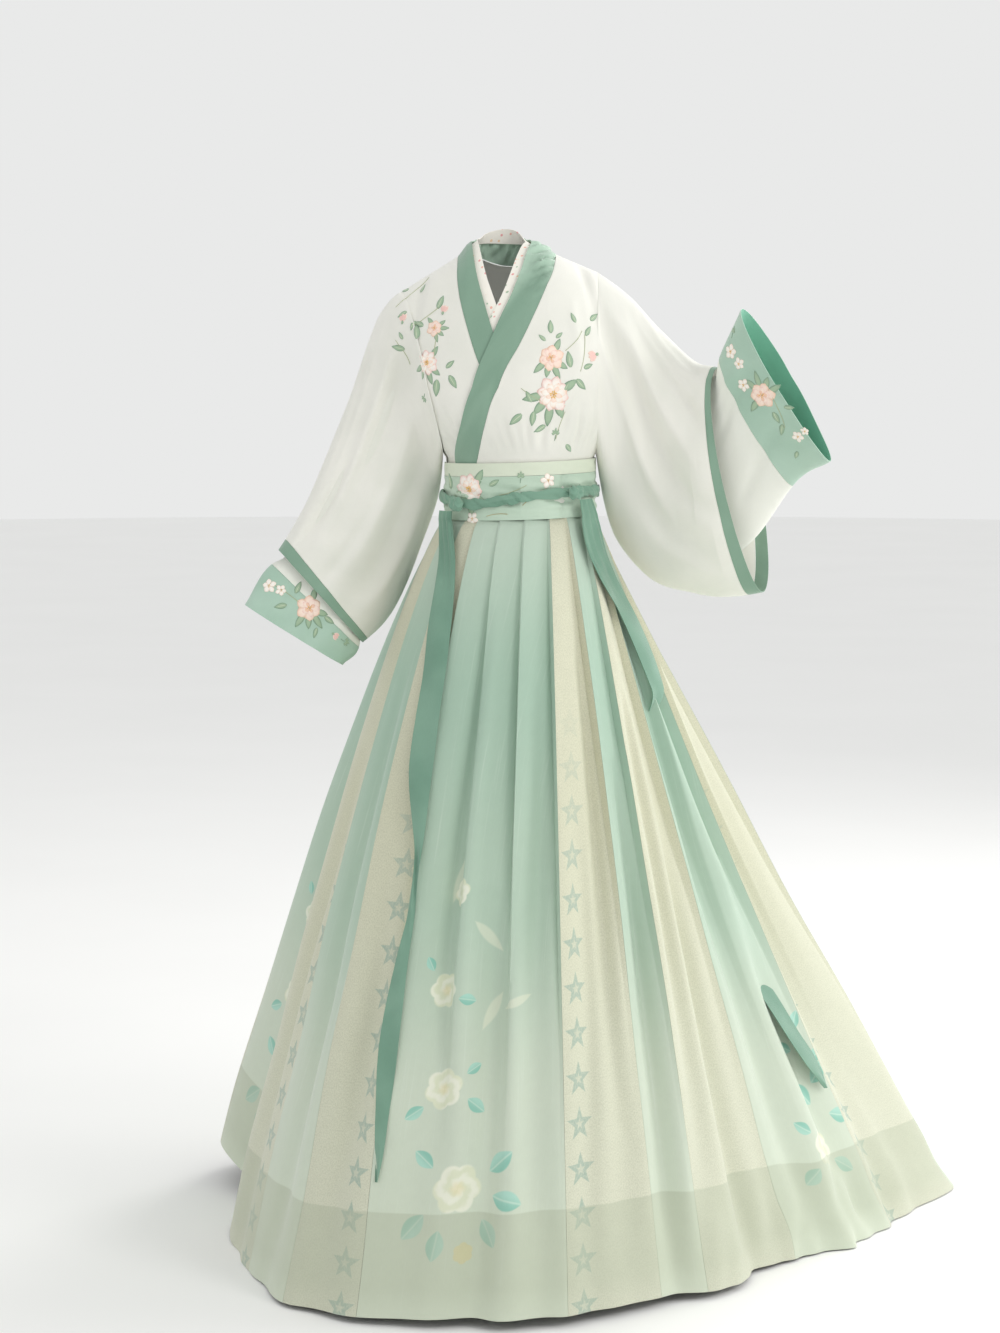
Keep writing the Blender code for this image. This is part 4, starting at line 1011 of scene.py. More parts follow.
def knot(side):
    """A tied knot: wrapped strands pulled into a soft lump."""
    bpy.ops.object.select_all(action="DESELECT")
    bpy.ops.mesh.primitive_ico_sphere_add(subdivisions=6, radius=1.0)
    piece = bpy.context.object
    piece.name = "sash_knot_%s_cloth" % side
    piece.data.name = piece.name
    turn = math.radians(KNOT_ANGLE[side])
    across = np.array([math.cos(turn), math.sin(turn), 0])
    out = np.array([math.sin(turn), -math.cos(turn), 0])
    up = np.array([0, 0, 1])
    place = ellipse(KNOT_ANGLE[side], WAIST_HALF_WIDTH + KNOT_OUT, WAIST_HALF_DEPTH + KNOT_OUT,
                    sash_level(KNOT_ANGLE[side]))
    ball = np.empty(len(piece.data.vertices) * 3)
    piece.data.vertices.foreach_get("co", ball)
    ball = ball.reshape(-1, 3)
    u, v, w = ball.T
    pinch = 1 - KNOT_PINCH * np.exp(-(u / KNOT_PINCH_WIDTH) ** 2)
    strands = 0.5 + 0.5 * np.cos(7.0 * w + 5.0 * u + 2.0 * np.sin(3 * v))
    cross = 0.5 + 0.5 * np.cos(9.0 * u - 3.5 * w)
    size = 1 - 0.13 * strands - 0.07 * cross * np.exp(-(u / 0.5) ** 2)
    place_of = place + across * (u * size * KNOT_SIZE[0])[:, None] + out * (v * size * KNOT_SIZE[1] * pinch)[:, None]
    place_of = place_of + up * (w * size * KNOT_SIZE[2] * pinch)[:, None] - np.array([0, 0, NAPE])
    piece.data.vertices.foreach_set("co", place_of.reshape(-1))
    piece.data.materials.append(MATERIALS["sash"])
    piece.data.shade_smooth()
    face_out(piece)
    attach(piece, "root")
    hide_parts("sash_knot_" + side)


def front_surface(x, z, stand_off):
    """The point of the skirt's or waist's smooth front at x and z, moved outwards."""
    if z > SKIRT_TOP:
        angle = math.degrees(math.asin(max(-1, min(1, (x - WAIST_X) / WAIST_HALF_WIDTH))))
        return ellipse(angle, WAIST_HALF_WIDTH + stand_off, WAIST_HALF_DEPTH + stand_off, z)
    columns = pleat_columns()
    hems = np.interp(FRONT_ANGLES, columns[:, 0], columns[:, 1])
    level = (SKIRT_TOP - z) / SKIRT_TOP
    line = skirt(FRONT_ANGLES, hems, np.full(FRONT_ANGLES.shape, level))
    here = np.interp(x, line[:, 0], np.arange(len(FRONT_ANGLES)))
    low = min(int(here), len(FRONT_ANGLES) - 2)
    place = line[low] + (line[low + 1] - line[low]) * (here - low)
    ahead = unit(line[low + 1] - line[low])
    return place + unit(np.array([ahead[1], -ahead[0], 0])) * stand_off


def hidden_share(z):
    """1 where the tail runs under a fold of the skirt, 0 where it shows."""
    return float(step_up(z, 0.26, 0.46) * (1 - step_up(z, 0.74, 0.80)))


def sash_tail(side):
    """A tail of the sash, gathered at its knot and turned on itself where it narrows."""
    rows = TAIL_ROWS[side]
    top = float(sash_level(KNOT_ANGLE[side])) - KNOT_SIZE[2] * (1 - KNOT_PINCH) - TAIL_GAP
    heights = np.linspace(top, rows[-1][0], TAIL_SECTIONS)
    order = rows[::-1]
    share = np.linspace(-0.5, 0.5, TAIL_ACROSS)
    outer, inner = [], []
    for z in heights:
        middle = float(read(z, TAIL_COLUMNS, order, "middle_x"))
        width = max(float(read(z, TAIL_COLUMNS, order, "width")), TAIL_LEAST_WIDTH)
        near = float(step_up(z, *TAIL_LEAVES_KNOT))
        stand = TAIL_STAND_OFF + near * (KNOT_OUT + TAIL_WALL / 2 - TAIL_STAND_OFF)
        gather = 0.0016 * float(step_up(z, 0.90, 1.06)) * np.cos(share * 6 * math.pi + z * 20)
        narrow = float(np.exp(-((width - 0.008) / 0.006) ** 2)) * 0.0014
        roll = narrow * np.cos(share * 2 * math.pi + z * 60)
        sway = 0.0012 * np.sin(z * 31 + share * 4) + 0.0008 * np.sin(z * 57 + 1)
        lift = stand + gather + roll + sway - TAIL_HIDE[side] * hidden_share(z)
        outer.append([front_surface(middle + width * f, z, s) for f, s in zip(share, lift)])
        inner.append([front_surface(middle + width * f, z, s - TAIL_WALL) for f, s in zip(share, lift)])
    outer, inner = np.array(outer), np.array(inner)
    piece = cloth("sash_tail_%s_cloth" % side, outer, inner, MATERIALS["sash"])
    hang(piece, "sash_tail_" + side)


# Sleeves

def armhole(side, turn, inset):
    """The armhole's edge at angles round the sleeve, moved a little outwards from the body."""
    sign = 1 if side == "left" else -1
    keys = np.linspace(UNDERARM_LEVEL, SHOULDER_LEVEL, 200)
    heights = body(edge_angle(side, keys), keys)[:, 2]
    share = (heights - heights[0]) / (heights[-1] - heights[0])
    levels = np.interp((1 + np.cos(np.radians(turn))) / 2, share, keys)
    if inset:
        levels = levels + INNER_ARMHOLE_RISE * (SHOULDER_LEVEL - levels) / (SHOULDER_LEVEL - UNDERARM_LEVEL)
    angle = edge_angle(side, levels)
    angle = np.where(turn <= 180, sign * 180 - angle, angle)
    return layer(angle, levels, np.full(levels.shape, inset)) + np.array([sign * ARMHOLE_GAP, 0, 0])


def troughs(turn, alongs, folds):
    """Depth of the folds at each angle and place along a sleeve."""
    turn, along = np.meshgrid(turn, alongs)
    depth = np.zeros(turn.shape)
    for row in folds:
        fold = dict(zip(FOLD_COLUMNS, row))
        run = np.clip((along - fold["start"]) / (fold["end"] - fold["start"]), 0, 1)
        path = fold["angle"] + (fold["end_angle"] - fold["angle"]) * run
        fade = np.sin(math.pi * run) ** FOLD_FADE
        away = (turn - path + 180) % 360 - 180
        depth += fold["depth"] * fade * np.exp(-(away / fold["width"]) ** 2)
    return depth


def sleeve_grid(side, rows, alongs, inset, folds, seed):
    """A sleeve's sections from the armhole out."""
    sign = 1 if side == "left" else -1
    turn = np.arange(SLEEVE_AROUND) * 360.0 / SLEEVE_AROUND
    first = armhole(side, turn, inset)
    angle = np.radians(turn)
    grid = []
    for along in alongs:
        row = {n: float(read(along, SLEEVE_COLUMNS, rows, n)) for n in SLEEVE_COLUMNS[1:]}
        top = np.array([row["top_x"], row["top_y"], row["top_z"]])
        low = np.array([row["low_x"], row["low_y"], row["low_z"]])
        lean = math.radians(row["lean"]) * sign
        width = np.array([math.sin(lean), math.cos(lean), 0])
        centre, half = (top + low) / 2, (top - low) / 2
        swell = row["half"] * np.sin(angle) * (1 + PEAR * np.cos(angle))
        section = centre + half * np.cos(angle)[:, None] + width * swell[:, None]
        share = float(step_up(along, 0.0, INNER_ARMHOLE_BLEND if inset else ARMHOLE_BLEND))
        grid.append(first * (1 - share) + section * share)
    grid = np.array(grid)
    around = np.radians(turn)[None, :]
    along = np.array(alongs)[:, None]
    soft = ripple(np.cos(around) * 0.08, np.sin(around) * 0.08 + along * 0.16, seed, 0.060) * 0.0010
    soft = soft * step_up(along, 0.02, 0.15)
    depth = SLEEVE_FOLD_GAIN * troughs(turn, alongs, folds) + soft
    return grid - grid_normals(grid, True) * outward(grid) * depth[..., None]


def split_tube(grid, alongs, split, names, finishes, linings, thickness):
    """Cuts one tube of cloth into two pieces at a seam, both with the same wall."""
    normal = grid_normals(grid, True) * outward(grid)
    inner = grid - normal * thickness
    place = int(np.argmin(np.abs(np.array(alongs) - split)))
    run = unit(grid[place + 1] - grid[place]) * SEAM_GAP
    far_outer, far_inner = grid[place:].copy(), inner[place:].copy()
    far_outer[0] += run
    far_inner[0] += run
    pieces = ((grid[:place + 1], inner[:place + 1]), (far_outer, far_inner))
    for k, (outer, under) in enumerate(pieces):
        piece = cloth(names[k] + "_cloth", outer, under, finishes[k], around=True, lining=linings[k])
        hang(piece, names[k])
    return far_outer


def sleeves():
    """Outer sleeves with their bands, and the longer inner sleeves with their cuffs."""
    grids = {}
    alongs = np.concatenate([np.linspace(0, SLEEVE_BAND_START, SLEEVE_SECTIONS),
                             np.linspace(SLEEVE_BAND_START, 1, BAND_SECTIONS)[1:]])
    inner_alongs = np.concatenate([np.linspace(0, CUFF_START, INNER_SLEEVE_SECTIONS),
                                   np.linspace(CUFF_START, 1, CUFF_SECTIONS)[1:]])
    for side in ("right", "left"):
        seed = 40 if side == "right" else 50
        grid = sleeve_grid(side, SLEEVE_ROWS[side], alongs, 0.0, SLEEVE_FOLDS[side], seed)
        names = ("sleeve_" + side, "sleeve_band_" + side)
        finishes = (MATERIALS["robe"], MATERIALS["collar"])
        split_tube(grid, alongs, SLEEVE_BAND_START, names, finishes, (None, None),
                   ROBE_WALL)
        grids["sleeve_" + side] = grid
        grid = sleeve_grid(side, INNER_SLEEVE_ROWS[side], inner_alongs, INNER_ARMHOLE_INSET[side],
                           INNER_SLEEVE_FOLDS[side], seed + 1)
        names = ("inner_sleeve_" + side, "cuff_" + side)
        finishes = (MATERIALS["lining"], MATERIALS["cuff"])
        grids["cuff_" + side] = split_tube(grid, inner_alongs, CUFF_START, names, finishes,
                                           (None, MATERIALS["cuff_lining"]),
                                           ROBE_WALL)
    return grids


# Skirt

def hem_column(angle, name):
    """A column of the hem's table, read all the way round."""
    keys = column(HEM_COLUMNS, HEM_ROWS, "angle")
    values = column(HEM_COLUMNS, HEM_ROWS, name)
    keys = np.concatenate([keys[-3:] - 360, keys, keys[:3] + 360])
    values = np.concatenate([values[-3:], values, values[:3]])
    return smooth((np.asarray(angle, float) + 180) % 360 - 180, keys, values)


def skirt(waist_angle, hem_angle, level, inward=0.0):
    """A point of the skirt: its angle at the waist and at the hem, and how far down it is."""
    turn = np.radians(hem_angle)
    reach = hem_column(hem_angle, "reach")
    reach = reach + HEM_WAVE_DEPTH * np.cos(HEM_WAVES * turn + HEM_WAVE_START)
    ease = hem_column(hem_angle, "ease")
    lift = hem_column(hem_angle, "lift")
    share = np.maximum(level, 1e-9) ** ease
    top = ellipse(waist_angle, WAIST_HALF_WIDTH, WAIST_HALF_DEPTH, SKIRT_TOP)
    low_x = HEM_X + reach * np.sin(turn)
    low_y = HEM_Y - reach * np.cos(turn)
    x = top[..., 0] * (1 - share) + low_x * share
    y = top[..., 1] * (1 - share) + low_y * share
    z = top[..., 2] + (lift - top[..., 2]) * level
    place = points(x, y, z)
    middle = points(WAIST_X + (HEM_X - WAIST_X) * share, HEM_Y * share, z)
    return place - unit(place - middle) * np.expand_dims(inward, -1)


def pleat_columns():
    """Waist angle, hem angle, share of the pleat, panel and pleat number of every column."""
    rows = [dict(zip(PANEL_COLUMNS, row)) for row in PANEL_ROWS]
    rows.append({"waist_angle": rows[0]["waist_angle"] + 360, "hem_angle": rows[0]["hem_angle"] + 360})
    columns = []
    pleat_number = 0
    for number, (here, after) in enumerate(zip(rows[:-1], rows[1:])):
        for pleat in range(here["pleats"]):
            for step in PLEAT_STEPS:
                share = (pleat + step) / here["pleats"]
                waist = here["waist_angle"] + (after["waist_angle"] - here["waist_angle"]) * share
                hem = here["hem_angle"] + (after["hem_angle"] - here["hem_angle"]) * share
                columns.append((waist, hem, step, number, pleat_number))
            pleat_number += 1
    return np.array(columns)


def pleat_profile(share, level, number):
    """How deep a pleat lies: a knife edge at the waist that opens into a soft fold below."""
    knife = np.where(share < PLEAT_EDGE, share / PLEAT_EDGE, (1 - share) / (1 - PLEAT_EDGE))
    soft = 0.5 - 0.5 * np.cos(2 * math.pi * share ** 1.2)
    opened = step_up(level + 0.08 * np.sin(number * 2.4), *PLEAT_OPENS)
    return knife * (1 - opened) + soft * opened


def skirt_grid():
    """The whole skirt as one ring of columns, and which panel each column starts."""
    columns = pleat_columns()
    levels = SKIRT_LEVELS[:, None]
    waist, hem, share, panel, number = columns.T[:, None, :]
    uneven = 1 + 0.22 * np.sin(number * 5.1 + 1)
    depth = read(SKIRT_LEVELS, PLEAT_DEPTH_COLUMNS, PLEAT_DEPTH_ROWS, "depth")[:, None]
    inward = depth * uneven * pleat_profile(share, levels, number)
    for row in SKIRT_FOLDS:
        fold = dict(zip(SKIRT_FOLD_COLUMNS, row))
        run = np.clip((levels - fold["start"]) / (fold["end"] - fold["start"]), 0, 1)
        away = ((hem - fold["hem_angle"] + 180) % 360 - 180) / fold["width"]
        sway = 0.5 * np.sin(levels * 7 + fold["hem_angle"])
        trough = np.exp(-(away + sway) ** 2) - 0.4 * np.exp(-(away + sway - 1.9) ** 2)
        inward = inward + SKIRT_FOLD_GAIN * fold["depth"] * np.sin(math.pi * run) ** FOLD_FADE * trough
    turn = np.radians(hem)
    ring = np.stack([np.cos(turn), np.sin(turn)]) * 0.45
    loose = ripple(ring[0] + 0 * levels, ring[1] + levels * 0.35, 71, 0.11) * 0.0022 * step_up(levels, 0.12, 0.6)
    flutter = ripple(ring[0] + 0 * levels, ring[1] + levels * 0.2, 72, 0.085) * 0.0030 * step_up(levels, 0.72, 1.0)
    side = np.exp(-((hem - HEAP_ANGLE) / HEAP_SPREAD) ** 2) * step_up(levels, 0.84, 1.0)
    heap = ripple(ring[0] + 0 * levels, ring[1] + levels * 0.5, 73, 0.060) * HEAP_DEPTH * side
    inward = inward + loose + flutter + heap
    grid = skirt(waist, hem, levels, inward)
    return grid, columns[:, 3].astype(int)


def skirt_panels():
    """Sixteen panels, cream and green by turns, cut from the ring at their seams."""
    grid, panel = skirt_grid()
    normal = grid_normals(grid, True) * outward(grid)
    inner = grid - normal * SKIRT_WALL
    inner[0, :, 2] = grid[0, :, 2]
    count = grid.shape[1]
    for number in range(len(PANEL_ROWS)):
        first = int(np.argmax(panel == number))
        length = int(np.sum(panel == number))
        order = (np.arange(length + 1) + first) % count
        outer_part, inner_part = grid[:, order].copy(), inner[:, order].copy()
        along = unit(outer_part[:, -1] - outer_part[:, -2])
        outer_part[:, -1] -= along * SEAM_GAP
        inner_part[:, -1] -= along * SEAM_GAP
        name = "skirt_panel_%02d" % (number + 1)
        cream = number % 2 == 0
        finish = MATERIALS[PANEL_FINISH.get(number + 1, "cream" if cream else "green")]
        piece = cloth(name + "_cloth", outer_part, inner_part, finish, from_right=number + 1 in STARS_FROM_RIGHT)
        hang(piece, name)
    return grid


# Embroidery: raised satin stitch and stems on the cloth

class Sheet:
    """The outer face of one or more sheets, on which stitched work is laid."""

    def __init__(self, *parts):
        places, normals = [], []
        for grid, around in parts:
            normal = grid_normals(grid, around) * (outward(grid) if around else 1.0)
            if not around and np.mean(normal[..., 1]) > 0:
                normal = -normal
            places.append(grid.reshape(-1, 3) - np.array([0, 0, NAPE]))
            normals.append(normal.reshape(-1, 3))
        self.places = np.concatenate(places)
        self.normals = np.concatenate(normals)
        self.tree = KDTree(len(self.places))
        for k, place in enumerate(self.places):
            self.tree.insert(place, k)
        self.tree.balance()

    def spot(self, px, py):
        """The point that is seen at a pixel, with its normal."""
        x, y, _ = pixels(self.places)
        towards = np.sum(self.normals * (EYE - self.places), axis=-1)
        return self.settle(self.places[int(np.argmin((x - px) ** 2 + (y - py) ** 2 + 1e6 * (towards < 0)))])

    def back(self, share):
        """A point on the side away from the camera, a share of the width off its middle."""
        low, high = self.places.min(axis=0), self.places.max(axis=0)
        aim = (low + high) / 2 + np.array([share * (high[0] - low[0]), 1.0, 0])
        return self.settle(self.places[int(np.argmin(np.linalg.norm(self.places - aim, axis=1)))])

    def settle(self, place):
        """The nearest point of the cloth's face, with its normal."""
        found = self.tree.find_n(place, 6)
        index = [k for _, k, _ in found]
        weight = np.array([1.0 / (away + 0.0015) for _, _, away in found])
        weight = (weight / weight.sum())[:, None]
        normal = unit(np.sum(self.normals[index] * weight, axis=0))
        centre = np.sum(self.places[index] * weight, axis=0)
        return place - normal * np.dot(place - centre, normal), normal

    def lay(self, spot, x, y, height):
        """Points at local x and y about a spot, a height above the cloth."""
        place, normal = spot
        seen_from_front = 1 if normal[1] < 0.3 else -1
        side = seen_from_front * unit(np.array([1.0, 0, 0]) - normal * normal[0])
        up = np.cross(normal, side)
        laid = []
        for a, b, h in zip(x.ravel(), y.ravel(), np.broadcast_to(height, x.shape).ravel()):
            foot, out = self.settle(place + side * a + up * b)
            laid.append(foot + out * h)
        return np.array(laid)


class Work:
    """Collects many small raised shapes into one mesh with a colour on each point."""

    def __init__(self):
        self.verts = []
        self.faces = []
        self.colours = []
        self.count = 0

    def lens(self, sheet, spot, x, y, height, colour):
        """A closed shape whose top rises from the cloth and whose back lies just inside it."""
        rows, count = x.shape
        self.verts += [sheet.lay(spot, x, y, height), sheet.lay(spot, x, y, -0.0001)]
        self.colours += [colour.reshape(-1, 3), colour.reshape(-1, 3)]
        size = rows * count
        for i in range(rows - 1):
            for j in range(count - 1):
                a, b = i * count + j, i * count + j + 1
                c, d = b + count, a + count
                self.faces.append([self.count + v for v in (a, b, c, d)])
                self.faces.append([self.count + v + size for v in (d, c, b, a)])
        rim = [j for j in range(count)] + [i * count + count - 1 for i in range(1, rows)]
        rim += [(rows - 1) * count + j for j in range(count - 2, -1, -1)] + [i * count for i in range(rows - 2, 0, -1)]
        for a, b in zip(rim, rim[1:] + rim[:1]):
            self.faces.append([self.count + v for v in (b, a, a + size, b + size)])
        self.count += 2 * size

    def finish(self, name, slot):
        """Makes the mesh and its object."""
        mesh = bpy.data.meshes.new(name)
        mesh.from_pydata(np.concatenate(self.verts).tolist(), [], self.faces)
        colours = np.concatenate(self.colours)
        layer_colour = mesh.color_attributes.new("thread", "FLOAT_COLOR", "POINT")
        rgba = np.concatenate([colours, np.ones((len(colours), 1))], axis=1)
        layer_colour.data.foreach_set("color", rgba.reshape(-1).astype(np.float32))
        mesh.materials.append(MATERIALS["thread"])
        mesh.shade_smooth()
        piece = bpy.data.objects.new(name, mesh)
        bpy.context.collection.objects.link(piece)
        face_out(piece)
        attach(piece, "root")
        return piece


def linear(red, green, blue):
    """A colour seen as 0 to 255, as the light that a shader mixes."""
    seen = np.array([red, green, blue]) / 255.0
    return np.where(seen <= 0.04045, seen / 12.92, ((seen + 0.055) / 1.055) ** 2.4)


THREADS = {
    "white": linear(250, 246, 238),
    "blush": linear(250, 228, 214),
    "peach": linear(242, 200, 174),
    "pink": linear(240, 196, 188),
    "gold": linear(234, 188, 92),
    "leaf": linear(164, 188, 158),
    "leaf_pale": linear(206, 216, 190),
    "leaf_dark": linear(124, 156, 130),
    "stem": linear(176, 184, 146),
    "grass": linear(178, 166, 122),
}


def turned(x, y, turn):
    """Local coordinates turned by degrees."""
    c, s = math.cos(math.radians(turn)), math.sin(math.radians(turn))
    return x * c - y * s, x * s + y * c


def petal(work, sheet, spot, start, turn, length, width, lift, base, tip, blunt=0.75):
    """One petal or leaf in satin stitch from its base to its tip."""
    s = np.linspace(0, 1, PETAL_ROWS)[:, None]
    t = np.linspace(-1, 1, PETAL_ACROSS)[None, :]
    half = width * np.sin(math.pi * np.clip(s, 0.02, 0.985) ** blunt) ** 0.7
    x, y = turned(start + s * length + 0 * t, half * t, turn)
    height = THREAD_LIFT * 0.3 + (lift + THREAD_HEIGHT) * (1 - 0.75 * t ** 4) * np.sin(math.pi * (0.08 + 0.84 * s)) ** 0.4
    edge = np.clip(np.maximum(s ** 6, t ** 4) + 0 * s * t, 0, 1)[..., None]
    work.lens(sheet, spot, x, y, height, base * (1 - edge) + tip * edge)


def leaf(work, sheet, spot, size, turn):
    """A leaf whose midrib shows as a pale line."""
    petal(work, sheet, spot, 0, turn, size, size * 0.23, 0, THREADS["leaf"], THREADS["leaf_dark"])
    petal(work, sheet, spot, size * 0.05, turn, size * 0.8, size * 0.03, 0.0004,
          THREADS["leaf_pale"], THREADS["leaf_pale"])


def rosette(work, sheet, spot, size, turn, rings, heart, dots):
    """A flower of rings of petals: (count, reach, width, base colour, tip colour)."""
    for k, (count, reach, width, base, tip) in enumerate(rings):
        for n in range(count):
            wide = width * size * (1 + 0.12 * math.sin(3 * n + k))
            long = reach * size * (1 + 0.10 * math.sin(5 * n + 2 * k + turn))
            petal(work, sheet, spot, size * 0.05, turn + 360 * (n + 0.5 * (k % 2)) / count, long, wide,
                  0.00035 * k, THREADS[base], THREADS[tip], 1.35)
    for n in range(dots):
        away = 0.16 * size * math.sqrt(n / max(dots, 1))
        petal(work, sheet, spot, away, n * 137.5, size * 0.13, size * 0.05, 0.0012,
              THREADS[heart], THREADS[heart])


def sepals(work, sheet, spot, size, turn):
    """Leaves that show past a flower's rim, under its petals."""
    for away, long in SEPALS:
        s, c = size * 0.62, turn + away
        x, y = turned(np.array([s]), np.array([0.0]), c)
        base = sheet.settle(sheet.lay(spot, x, y, 0)[0])
        petal(work, sheet, base, 0, c + 8, size * long, size * 0.27, -0.0003, THREADS["leaf"], THREADS["leaf_dark"])


def motif(work, sheet, row):
    """One motif of an embroidery table."""
    made = dict(zip(MOTIF_COLUMNS, row))
    spot = sheet.spot(made["px"], made["py"])
    size, turn = made["size"], made["turn"]
    if made["kind"] == "leaf":
        leaf(work, sheet, spot, size, turn)
    elif made["kind"] == "peony":
        rings = ((8, 1.0, 0.36, "white", "pink"), (7, 0.76, 0.30, "white", "peach"),
                 (5, 0.50, 0.22, "blush", "peach"))
        sepals(work, sheet, spot, size, turn)
        rosette(work, sheet, spot, size, turn, rings, "gold", 12)
    elif made["kind"] == "rose":
        rings = ((6, 1.0, 0.44, "blush", "peach"), (5, 0.70, 0.32, "blush", "pink"),
                 (4, 0.42, 0.22, "peach", "pink"))
        sepals(work, sheet, spot, size, turn)
        rosette(work, sheet, spot, size, turn, rings, "gold", 5)
    elif made["kind"] == "blossom":
        rosette(work, sheet, spot, size, turn, ((5, 1.0, 0.40, "white", "blush"),), "gold", 4)
    elif made["kind"] == "bud":
        for offset in (-24, 0, 24):
            petal(work, sheet, spot, 0, turn + offset, size, size * 0.30, 0.0002 * (offset == 0),
                  THREADS["pink"], THREADS["blush"], 1.1)
        petal(work, sheet, spot, -size * 0.3, turn, size * 0.5, size * 0.16, 0.0005,
              THREADS["leaf"], THREADS["leaf_dark"])
    elif made["kind"] == "sprig":
        for offset, length in ((-62, 0.55), (-32, 0.8), (0, 1.0), (32, 0.8), (62, 0.55)):
            petal(work, sheet, spot, size * 0.12, turn + offset, size * 0.6 * length, size * 0.11, 0,
                  THREADS["leaf"], THREADS["leaf_dark"])
        stem(work, sheet, spot, size * 0.9, turn + 180, 0.10, "leaf_dark")
    elif made["kind"] == "stem":
        stem(work, sheet, spot, size, turn, 0.16, "stem")
    elif made["kind"] == "grass":
        stem(work, sheet, spot, size, turn, 0.24, "grass")


def stem(work, sheet, spot, length, turn, bow, thread):
    """A thin raised line of stem stitch on a shallow curve, from its middle both ways."""
    s = np.linspace(-0.5, 0.5, 15)[:, None] if bow != 0.10 else np.linspace(0, 0.6, 11)[:, None]
    t = np.array([-1.0, 0.0, 1.0])[None, :]
    x, y = turned(s * length + 0 * t, bow * length * (0.25 - s ** 2) + t * 0.00045, turn)
    height = 0.00035 + 0.0003 * (1 - t ** 2) + 0 * s
    colour = np.broadcast_to(THREADS[thread], x.shape + (3,))
    work.lens(sheet, spot, x, y, height, colour)


def embroidery(grids):
    """Flower sprays on the fronts, the cuffs and the waistband."""
    parts = {"robe_front_right": (("robe_front_right", False), ("sleeve_right", True)),
             "robe_front_left": (("robe_front_left", False), ("sleeve_left", True)),
             "cuff_right": (("cuff_right", True),), "cuff_left": (("cuff_left", True),),
             "waistband": (("waistband", True),)}
    slots = {"robe_front_right": "robe_cloth", "robe_front_left": "robe_cloth", "cuff_right": "cuff_satin",
             "cuff_left": "cuff_satin", "waistband": "waist_satin"}
    for name, rows in EMBROIDERY.items():
        sheet = Sheet(*((grids[part], around) for part, around in parts[name]))
        work = Work()
        for row in rows:
            motif(work, sheet, row)
        if not name.startswith("robe"):
            hidden_sprays(work, sheet, (-0.22, 0.0, 0.22) if name == "waistband" else (0.0,))
        work.finish("embroidery_" + name, slots[name])


def hidden_sprays(work, sheet, shares):
    """Plain sprays of the same flowers on the side that the photo doesn't show."""
    rings = ((6, 1.0, 0.44, "blush", "peach"), (5, 0.70, 0.32, "white", "peach"))
    for k, share in enumerate(shares):
        spot = sheet.back(share)
        rosette(work, sheet, spot, HIDDEN_SPRAY_SIZE, 40 * k, rings, "gold", 5)
        for turn in (20, 160, 205, 338):
            x, y = turned(np.array([HIDDEN_SPRAY_SIZE * 0.95]), np.array([0.0]), turn)
            leaf(work, sheet, sheet.settle(sheet.lay(spot, x, y, 0)[0]), HIDDEN_SPRAY_SIZE * 0.95, turn)


def stitches(name, line, normal, finish):
    """A row of running stitches on a line of points, a little above the cloth."""
    line = line - np.array([0, 0, NAPE])
    run = np.concatenate([[0], np.cumsum(np.linalg.norm(np.diff(line, axis=0), axis=1))])
    count = int(run[-1] / STITCH_PITCH)
    verts, faces = [], []
    for k in range(count):
        ends = [(k + 0.5) * STITCH_PITCH + s * STITCH_LENGTH for s in (-0.5, 0.0, 0.5)]
        places = [np.array([np.interp(e, run, line[:, a]) for a in range(3)]) for e in ends]
        out = unit(np.array([np.interp(ends[1], run, normal[:, a]) for a in range(3)]))
        along = unit(places[2] - places[0])
        side = np.cross(along, out)
        middle = places[1] + out * STITCH_RADIUS * 0.8
        ring = [middle + side * STITCH_RADIUS, middle + out * STITCH_RADIUS,
                middle - side * STITCH_RADIUS, middle - out * STITCH_RADIUS]
        base = len(verts)
        verts += [places[0] - out * STITCH_RADIUS, *ring, places[2] - out * STITCH_RADIUS]
        for n in range(4):
            m = (n + 1) % 4
            faces.append((base, base + 1 + m, base + 1 + n))
            faces.append((base + 5, base + 1 + n, base + 1 + m))
    mesh = bpy.data.meshes.new(name)
    mesh.from_pydata([tuple(v) for v in verts], [], faces)
    mesh.materials.append(finish)
    mesh.shade_smooth()
    piece = bpy.data.objects.new(name, mesh)
    bpy.context.collection.objects.link(piece)
    face_out(piece)
    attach(piece, "root")


def edge_line(grid, around, share, rows=True):
    """A line across a grid near one edge, with its normals."""
    normal = grid_normals(grid, around) * (outward(grid) if around else 1.0)
    if not around and np.mean(normal[..., 1]) > 0 and np.mean(grid[..., 1]) < 0:
        normal = -normal
    if rows:
        place = share * (grid.shape[0] - 1)
        low = int(place)
        f = place - low
        line = grid[low] * (1 - f) + grid[min(low + 1, len(grid) - 1)] * f
        out = normal[low]
        if around:
            line = np.concatenate([line, line[:1]])
            out = np.concatenate([out, out[:1]])
        return line, out
    place = share * (grid.shape[1] - 1)
    low = int(place)
    f = place - low
    return grid[:, low] * (1 - f) + grid[:, min(low + 1, grid.shape[1] - 1)] * f, normal[:, low]


